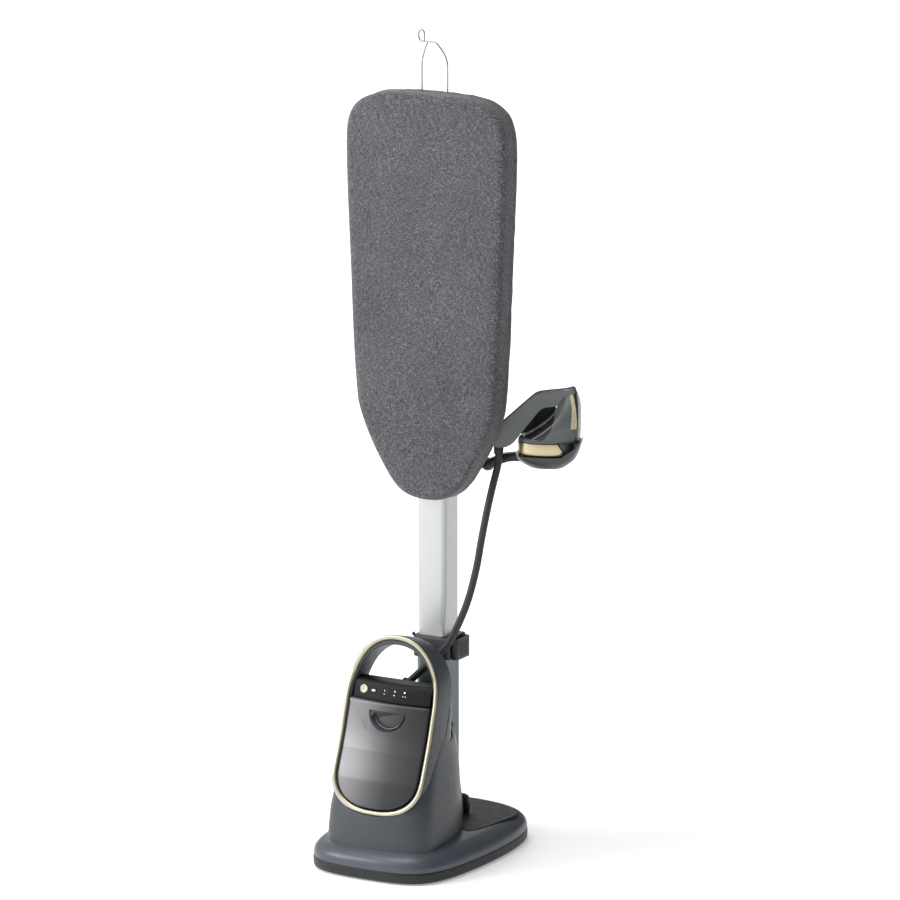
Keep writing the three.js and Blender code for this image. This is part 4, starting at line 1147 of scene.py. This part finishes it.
def make_collar():
    c = COLLAR
    mid_x = (c["left"] + c["right"]) / 2
    mid_y = (c["front"] + c["back"]) / 2
    outline = rounded_rect(mid_x, mid_y, c["right"] - c["left"], c["back"] - c["front"], 13, 10)
    steps = [(2.2, c["floor"]), (0.8, c["floor"] + 0.6), (0, c["floor"] + 2.2), (0, c["top"] - 8),
             (0.2, c["top"] - 5), (1.2, c["top"] - 2), (2.8, c["top"] - 0.5), (5, c["top"])]
    sleeve = link("clamp_sleeve", mesh_of("clamp_sleeve", [loft([level(inset(outline, d), z) for d, z in steps])]))
    low = rounded_rect(0, POLE_Y, POLE_W + 6.8, POLE_D + 6.8, POLE_R + 3)
    high = rounded_rect(0, POLE_Y, POLE_W + 0.8, POLE_D + 0.8, POLE_R)
    carve(sleeve, [prism(low, "z", 400, c["outer_top"] + GAP), prism(high, "z", 460, 520)])
    settle(sleeve, DARK, "stand", ["collar"], 34)
    outer = rounded_rect(LEVER_X + LEVER_REACH / 2, LEVER_Y + LEVER_DEPTH / 2, LEVER_REACH, LEVER_DEPTH, 7, 10)
    inner = rounded_rect(LEVER_X + (LEVER_REACH - LEVER_WALL) / 2, LEVER_Y + LEVER_DEPTH / 2,
                         LEVER_REACH - LEVER_WALL, LEVER_DEPTH - 14, 4, 10)
    loop = link("clamp_loop", mesh_of("clamp_loop", [prism(outer, "z", c["floor"] + 1, c["top"] - 2)]))
    carve(loop, [prism(inner, "z", 400, 520), box(LEVER_X - 5, LEVER_X + 5, LEVER_Y + 10, LEVER_Y + 50, 400, 520)])
    edge_round(loop, 1.2, 3)
    settle(loop, DARK, "clamp", ["clamp_lever"], 34)
    ribs = [rod((LEVER_X + LEVER_REACH - 0.4, y, c["floor"] + 8), (LEVER_X + LEVER_REACH - 0.4, y, c["top"] - 9),
                1.1, 10, 0.5) for y in range(38, 72, 6)]
    piece("clamp_ribs", ribs, DARK, "clamp")
    piece("sleeve_tab", [rod((c["left"] + 3, c["front"] + 4, c["top"] - 3), (c["left"] + 3, c["front"] + 4, c["top"] + 5),
                             3.4, 20, 1.2)], DARK, "stand")


# ---------------------------------------------------------------- board
def board_skin(x, z):
    """The face of the padded board, crowned a little towards its middle."""
    half = max(40, 195 * min(1, max(0, z - 790) / 230) ** 0.6)
    side = max(0.0, 1 - (x / half) ** 2)
    ends = min(1, max(0, z - 800) / 120) * min(1, max(0, 1690 - z) / 70)
    return BOARD_FRONT - 3.2 * side * ends


def pucker(x, y, z):
    """Small gathers on the cover's side wall, strongest near its hem."""
    along = math.atan2(z - 1250, x) * 46
    wave = noise.noise(Vector((along * 0.35, y * 0.02, 0.3))) + 0.5 * noise.noise(Vector((along * 0.9, y * 0.03, 4)))
    share = min(1, max(0, (y - 4) / 30))
    return 1.5 * wave * share


def cover_mesh():
    outline = inset(mirrored_bezier(BOARD_HALF, 14), 0)
    rings = []
    walls = [(19, 54.6), (12, 54.8), (6, 54.4), (2.2, 53.6), (0.4, 51.5), (0, 48), (-0.2, 41), (-0.2, 34), (0, 27),
             (0, 20), (0, 14), (0.2, 9), (0.8, 5), (2.2, 1.4), (4.6, -1.4), (7.8, -3.4), (11.5, -4.5)]
    for distance, y in walls:
        ring = []
        for (x, z), (ox, oz) in zip(inset(outline, distance), outline):
            shift = pucker(ox, y, oz)
            length = math.hypot(ox, oz - 1250)
            ring.append((x + shift * ox / length, y, z + shift * (oz - 1250) / length))
        rings.append(ring)
    edge = inset(outline, 16)
    for step in range(0, 19):
        t = step / 18 * 0.985
        ring = []
        for x, z in edge:
            middle = min(max(z, BOARD_SPINE[0]), BOARD_SPINE[1])
            px = x * (1 - t)
            pz = mix(z, middle, t)
            ring.append((px, board_skin(px, pz) - 0.0, pz))
        rings.append(ring)
    points, faces = loft(rings, caps=False)
    faces.append(tuple(range(len(points) - len(edge), len(points))))
    return points, faces


def press_cloth(obj, cap):
    """Cloth run with air pressure inside, its hem held; no point moves further than the cap, in metres."""
    rest = [v.co.copy() for v in obj.data.vertices]
    hem = obj.vertex_groups.new(name="hem")
    hem.add([v.index for v in obj.data.vertices if v.co.y > 0.046], 1.0, "REPLACE")
    modifier = obj.modifiers.new("cloth", "CLOTH")
    settings = modifier.settings
    settings.quality = 6
    settings.mass = 0.25
    settings.tension_stiffness = 14
    settings.compression_stiffness = 14
    settings.bending_stiffness = 1.5
    settings.use_pressure = True
    settings.uniform_pressure_force = 4
    settings.vertex_group_mass = "hem"
    settings.effector_weights.gravity = 0
    modifier.point_cache.frame_start = 1
    modifier.point_cache.frame_end = 20
    scene = bpy.context.scene
    for step in range(1, 21):
        scene.frame_set(step)
    graph = bpy.context.evaluated_depsgraph_get()
    result = obj.evaluated_get(graph).to_mesh()
    places = [v.co.copy() for v in result.vertices]
    obj.evaluated_get(graph).to_mesh_clear()
    obj.modifiers.clear()
    for vertex, before, after in zip(obj.data.vertices, rest, places):
        step = after - before
        if step.length > cap:
            step *= cap / step.length
        vertex.co = before + step
    scene.frame_set(1)
    obj.vertex_groups.clear()


def make_board():
    outline = mirrored_bezier(BOARD_HALF, 14)
    pad = link("foam_pad", mesh_of("foam_pad", [loft([
        [(x, y, z) for x, z in inset(outline, d)] for d, y in
        ((4.5, 5.8), (4.3, 4.5), (5, 2), (7, -0.4), (10, -1.9), (14, -2.6))])]))
    settle(pad, FOAM, "board", ["board_pad"])
    cover = link("board_cloth", mesh_of("board_cloth", [cover_mesh()]))
    press_cloth(cover, 0.0022)
    settle(cover, CLOTH, "board", ["board_cover"], 80)
    thick = cover.modifiers.new("thick", "SOLIDIFY")
    thick.thickness = 0.0011
    thick.offset = 1
    cord = [(x, 53.6 + 0.4 * math.sin(i * 0.9), z) for i, (x, z) in enumerate(inset(outline, 19.5))]
    hem = piece("cover_hem", [loft_round([[tuple(c) for c in ring] for ring in hem_rings(cord)])], CLOTH, "board",
                (), 0, 2, 70)
    refine("board_frame", DARK, 0.8)
    refine("hook_guide", DARK, 0.8)
    refine("hinge_pin", STEEL, 0.8)
    refine("pole_head", DARK, 1.0)
    ribs = []
    for z in range(880, 1640, 76):
        if abs(z - HINGE_Z) < 60:
            continue
        half = 150 if z > 960 else 96
        for x0, x1 in ((-half, -56), (56, half)):
            ribs.append(box(x0, x1, 12.2, 20, z - 1.5, z + 1.5))
    for x in (-120, 120):
        ribs.append(box(x - 1.5, x + 1.5, 12.2, 20, 960, 1640))
    piece("frame_ribs", ribs, DARK, "board")


def hem_rings(centres, radius=2.0, sides=8):
    """Rings of a closed loop's round section, one per side."""
    n = len(centres)
    rings = []
    for k in range(sides):
        angle = 2 * math.pi * k / sides
        ring = []
        for i in range(n):
            ax, _, az = centres[(i - 1) % n]
            bx, _, bz = centres[(i + 1) % n]
            length = math.hypot(bx - ax, bz - az)
            nx = (bz - az) / length
            nz = -(bx - ax) / length
            r = radius * (1 + 0.25 * noise.noise(Vector((i * 0.6, 0, 2))))
            x, y, z = centres[i]
            ring.append((x + nx * r * math.cos(angle), y + r * math.sin(angle), z + nz * r * math.cos(angle)))
        rings.append(ring)
    return rings


def make_hook():
    right = [(32, 1560), (32, 1690), (32, 1742), (31, 1756), (26, 1770), (17, 1783), (6, 1795), (0, 1798.5),
             (-8, 1799), (-20, 1799), (-32, 1799.2), (-38, 1802), (-40, 1808), (-40, 1814), (-38.5, 1820),
             (-33, 1824), (-28, 1821), (-26.2, 1814), (-26, 1799)]
    left = [(-32, 1560), (-32, 1690), (-32, 1744), (-31, 1758), (-27, 1774), (-21, 1790), (-17, 1799)]
    rung = [(-32, 1562), (-20, 1559), (0, 1558), (20, 1559), (32, 1562)]
    shells = []
    for path in (right, left, rung):
        shells.append(tube_along([(x, HOOK_Y, z) for x, z in spline(path, 12 * len(path))], HOOK_R, 14))
    piece("wire_hook", shells, WIRE, "hanger", ["hanger_hook"], 0, 2, 60)


# ---------------------------------------------------------------- hand iron
def nose_bend(u):
    """How far the sole side leans back towards the nose."""
    return 9 * (max(0, u - 92) / 50) ** 2


def clamp_sole(ring):
    return [(min(v, SOLE - GAP - nose_bend(u)), w, u) for v, w, u in ring]


def body_rings(grow=0.0, count=46):
    rings = []
    for v0, v1, half, u in spline(BODY_STATIONS, count):
        rings.append(clamp_sole(oval_ring(v0 - grow, v1 + grow, half + grow, u)))
    return rings


def make_iron():
    body = link("iron_shell", mesh_of("iron_shell", [in_iron(loft(body_rings()))]))
    settle(body, SKIRT, "iron", ["iron_body", "side_trim"], 40)
    handle = link("handle_band", mesh_of("handle_band", [in_iron(prism_w(smooth_loop(HANDLE_OUTLINE, 2, 0.2), 17, 5))]))
    slot = loft([[(v, w, 50) for v, w in ((-34, -7), (-7, -7), (-7, 7), (-34, 7))],
                 [(v, w, 96) for v, w in ((-34, -7), (-7, -7), (-7, 7), (-34, 7))]])
    carve(handle, [in_iron(slot)])
    settle(handle, IRONGREY, "iron", ["iron_handle"], 40)
    make_soleplate()
    make_heel()
    refine("hose_boot", RUBBER, 0.8)
    refine("steam_trigger", BLACK, 0.8)


def make_soleplate():
    rings = []
    for half, u in spline(SOLE_STATIONS, 36):
        row = [(SOLE - 0.5, -half), (SOLE + 2.5, -half), (SOLE + 5.6, -half + 1.2), (SOLE + SOLE_THICK, -half + 4),
               (SOLE + SOLE_THICK, half - 4), (SOLE + 5.6, half - 1.2), (SOLE + 2.5, half), (SOLE - 0.5, half)]
        rings.append([(v - nose_bend(u), w, u) for v, w in row])
    sole = link("sole", mesh_of("sole", [in_iron(loft(rings))]))
    holes = []
    for u, half in ((52, 24), (66, 30), (80, 30), (94, 25), (108, 17), (122, 9)):
        for w in (-half, -half / 2, half / 2, half) if half > 12 else (-half, half):
            a, b = iron_frame([(SOLE + 2, w, u), (SOLE + 12, w, u)])
            holes.append(rod(a, b, 2.1, 12))
    carve(sole, holes)
    settle(sole, SKIRT, "iron", ["soleplate"], 30)
    sole.data.materials.append(SOLE_METAL)
    facing = Vector((math.cos(IRON_TURN), math.sin(IRON_TURN), 0))
    for polygon in sole.data.polygons:
        if polygon.normal.dot(facing) > 0.96:
            polygon.material_index = 1


def make_heel():
    stations = [(-41, 72, 43, 0.6), (-44.8, 75.6, 47.4, 1.8), (-46, 77, 49, 4.4), (-46, 77, 49, 16), (-46, 77, 49, 27),
                (-45.6, 76.8, 48.7, 28.6), (-44.4, 75.6, 47.4, 29.2), (-44.4, 75.6, 47.4, 30.4),
                (-45.6, 76.8, 48.7, 31), (-45.2, 76.8, 48.9, 34), (-43, 77, 48.6, 37), (-38, 77, 46, 39)]
    rings = [oval_ring(*s) for s in stations]
    heel = link("heel", mesh_of("heel", [in_iron(loft(rings))]))
    settle(heel, HEEL, "iron", ["heel_band"], 50)


# ---------------------------------------------------------------- dock
def make_dock():
    outer = [(4, 40, 20, -32, 0.75), (-14, 52, 30, -29.5, 0.75), (-28, 62, 38, -24, 0.75), (-48, 80, 51, -8, 0.7),
             (-53, 92, 58, 20, 0.42), (-53, 97, 60, 52, 0.38)]
    hollow = [(-40, 72, 45, -6, 0.75), (-49, 84, 52, 6, 0.7), (-50, 89.5, 55, 22, 0.42), (-50, 94.5, 57, 80, 0.38)]
    hull = [oval_ring(a, b, c, u, 64, p) for a, b, c, u, p in spline(outer, 30)]
    well = [oval_ring(a, b, c, u, 64, p) for a, b, c, u, p in spline(hollow, 16)]
    cup = link("dock_bowl", mesh_of("dock_bowl", [in_iron(loft(hull))]))
    slope = smooth_loop([(-80, 0), (52, 0), (60, 7), (94, 30), (110, 60), (110, 120), (-80, 120)], 1, 0.08)
    away = loft([[(v, w, 0) for v, w in ((-80, -90), (20, -90), (20, 90), (-80, 90))],
                 [(v, w, 120) for v, w in ((-80, -90), (20, -90), (20, 90), (-80, 90))]])
    carve(cup, [in_iron(loft(well)), in_iron(prism_w(slope, 90)), in_iron(away)])
    settle(cup, DOCKGREY, "mast", ["dock_cup"], 38)
    refine("dock_arm", DARK, 1.0)
    # the dock rest fills the gap under the handle and is painted near-black as the shade in that gap
    if "dock_rest" in frame["nodes"]:
        refine("dock_rest", PAINTED_SHADOW, 0.8)


# ---------------------------------------------------------------- the rest of the works
def make_works():
    finishes = {
        "reinforcing_plate": (STEEL, 0.6), "foot_front_left": (RUBBER, 0.6), "foot_front_right": (RUBBER, 0.6),
        "foot_rear_left": (RUBBER, 0.6), "foot_rear_right": (RUBBER, 0.6), "foot_centre": (RUBBER, 0.6),
        "tank_bay_wall": (DARK, 0.6), "control_board": (BOARD_GREEN, 0.2),
        "boiler": (STEEL, 1.5), "pump": (DARK, 1.0), "steam_valve": (STEEL, 0.8), "tank_socket": (DARK, 0.6),
        "hose_port": (RUBBER, 0.8), "power_inlet": (RUBBER, 0.6), "pole_socket": (STEEL, 0.8),
        "glide_bush": (RUBBER, 0.5), "pole_shoe": (DARK, 2.0),
    }
    for node, (material, rounding) in finishes.items():
        if node in frame["nodes"]:
            refine(node, material, rounding)


make_camera()
make_studio()
make_hose()
make_base()
make_housing()
make_hoop()
make_panel()
make_marks()
make_power_button()
make_mode_button()
make_tank()
make_pole()
make_collar()
make_board()
make_hook()
make_iron()
make_dock()
make_works()
